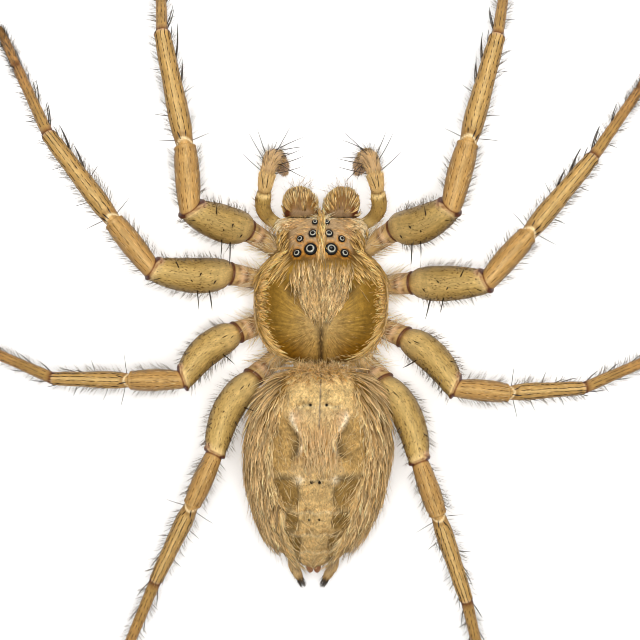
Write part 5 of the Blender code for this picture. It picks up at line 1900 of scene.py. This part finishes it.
def make_horns(name, paths, radius, finish):
    """Curved spikes along the paths, as one piece."""
    count, sides = 18, 12
    share = np.linspace(0.0, 1.0, count)
    width = eased(radius, share)
    points, faces = [], []
    for number, path in enumerate(paths):
        rings = tube(smooth_path(path, count), width, width, sides=sides)
        _, flipped = outward_normals(rings)
        own = grid_faces(count, sides, flipped).tolist() + end_caps(count, sides, flipped)
        faces += [[corner + number * count * sides for corner in face] for face in own]
        points.append(rings.reshape(-1, 3))
    new_piece(name, np.concatenate(points), faces, [finish])


def claw_paths(stance):
    """Two small claws side by side at a foot's tip, curved down to the floor."""
    toe = leg_joints(stance)[-1]
    ahead = direction(stance.side, stance.tarsus_heading, 0.0)
    across = np.array([-ahead[1], ahead[0], 0.0])
    paths = []
    for hand in (-1, 1):
        root = np.array([toe[0], toe[1], CLAW_Z]) + 0.06 * hand * across - 0.08 * ahead
        paths.append([root + reach * ahead + rise * UPWARDS for reach, rise in CLAW_BEND])
    return paths


def make_floor():
    """A plain floor that is pale and matt."""
    corners = np.array([(-1, -1, 0), (1, -1, 0), (1, 1, 0), (-1, 1, 0)]) * FLOOR_REACH
    mesh = bpy.data.meshes.new("floor")
    mesh.from_pydata((corners * MM).tolist(), [], [(0, 1, 2, 3)])
    mesh.materials.append(floor_paint())
    floor = placed("floor", mesh)


def make_camera():
    """Straight above, with the spider's head at the top of the frame."""
    data = bpy.data.cameras.new("camera")
    data.sensor_width = SENSOR
    data.lens = SENSOR * (CAMERA_HEIGHT - VIEW_Z) / VIEW_WIDTH
    data.clip_start = 0.01
    camera = placed("camera", data)
    camera.location = to_frame(np.array([*AIM, CAMERA_HEIGHT]))
    camera.rotation_euler = (0.0, 0.0, math.pi)
    bpy.context.scene.camera = camera


def make_lamp(name, place, size, power):
    """A soft square lamp that looks at the spider. Its power is in watts."""
    data = bpy.data.lights.new(name, "AREA")
    data.shape = "SQUARE"
    data.size = size * MM
    data.energy = power
    lamp = placed(name, data)
    lamp.location = Vector(place) * MM
    lamp.rotation_euler = (-lamp.location).to_track_quat("-Z", "Y").to_euler()


def make_light():
    """A white room and two lamps, with plain colours and a sharp pixel filter."""
    world = bpy.data.worlds.new("studio")
    world.use_nodes = True
    world.node_tree.nodes["Background"].inputs["Color"].default_value = (1.0, 1.0, 1.0, 1.0)
    world.node_tree.nodes["Background"].inputs["Strength"].default_value = WORLD_LIGHT
    bpy.context.scene.world = world
    for lamp in LAMPS:
        make_lamp(*lamp)
    bpy.context.scene.view_settings.view_transform = "Standard"
    bpy.context.scene.cycles.filter_width = 1.0


def main():
    """The stage, the finishes, the skin with its eyes, fangs and claws, and then the coat."""
    make_camera()
    make_light()
    make_floor()
    carapace_shell()
    abdomen_hide()
    limb_shell()
    fibre = hair_fibre()
    spine = horn("spine", (0.02, 0.014, 0.01), (0.045, 0.03, 0.02))
    fang = horn("fang", (0.10, 0.022, 0.010), (0.02, 0.008, 0.006))
    claw = horn("claw", (0.05, 0.02, 0.012), (0.02, 0.012, 0.01))

    front = front_body()
    rear = abdomen()
    chelicerae = [(side, chelicera(side)) for _, side in SIDES]
    palps = [(side, palp(side)) for _, side in SIDES]
    spinnerets = [(side, spinneret(side)) for _, side in SIDES]
    lobes = [small_spinneret(side) for _, side in SIDES]
    legs = {name: leg(stance) for name, stance in STANCES.items()}

    flesh = [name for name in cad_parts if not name.startswith("eye_")]
    paired = [hide for _, hide in chelicerae + palps + spinnerets]
    hides = [front, rear, *paired, *lobes, *legs.values()]
    make_skin(hides, ["carapace_shell", "abdomen_hide", "limb_shell"], flesh)
    make_eyes(front, eye_lens())
    make_horns("fangs", [mirrored(FANG_PATH, side) for _, side in SIDES], FANG_RADIUS, fang)
    claws = [path for stance in STANCES.values() for path in claw_paths(stance)]
    make_horns("claws", claws, CLAW_RADIUS, claw)

    abdomen_coat(rear, fibre)
    head_coat(front, fibre)
    chelicera_coat(chelicerae, fibre)
    palp_coat(palps, fibre, spine)
    spinneret_coat(spinnerets, fibre)
    names = list(STANCES)
    for end, own in (("front", names[:4]), ("rear", names[4:])):
        batches, spines, feelers = [], [], []
        for name in own:
            batches += limb_batches(legs[name])
            leg_spine, leg_feeler = leg_spines(legs[name], STANCES[name])
            spines += leg_spine
            feelers += leg_feeler
        make_coat(f"coat_legs_{end}", batches + feelers, fibre)
        make_coat(f"spines_{end}", spines, spine)


main()
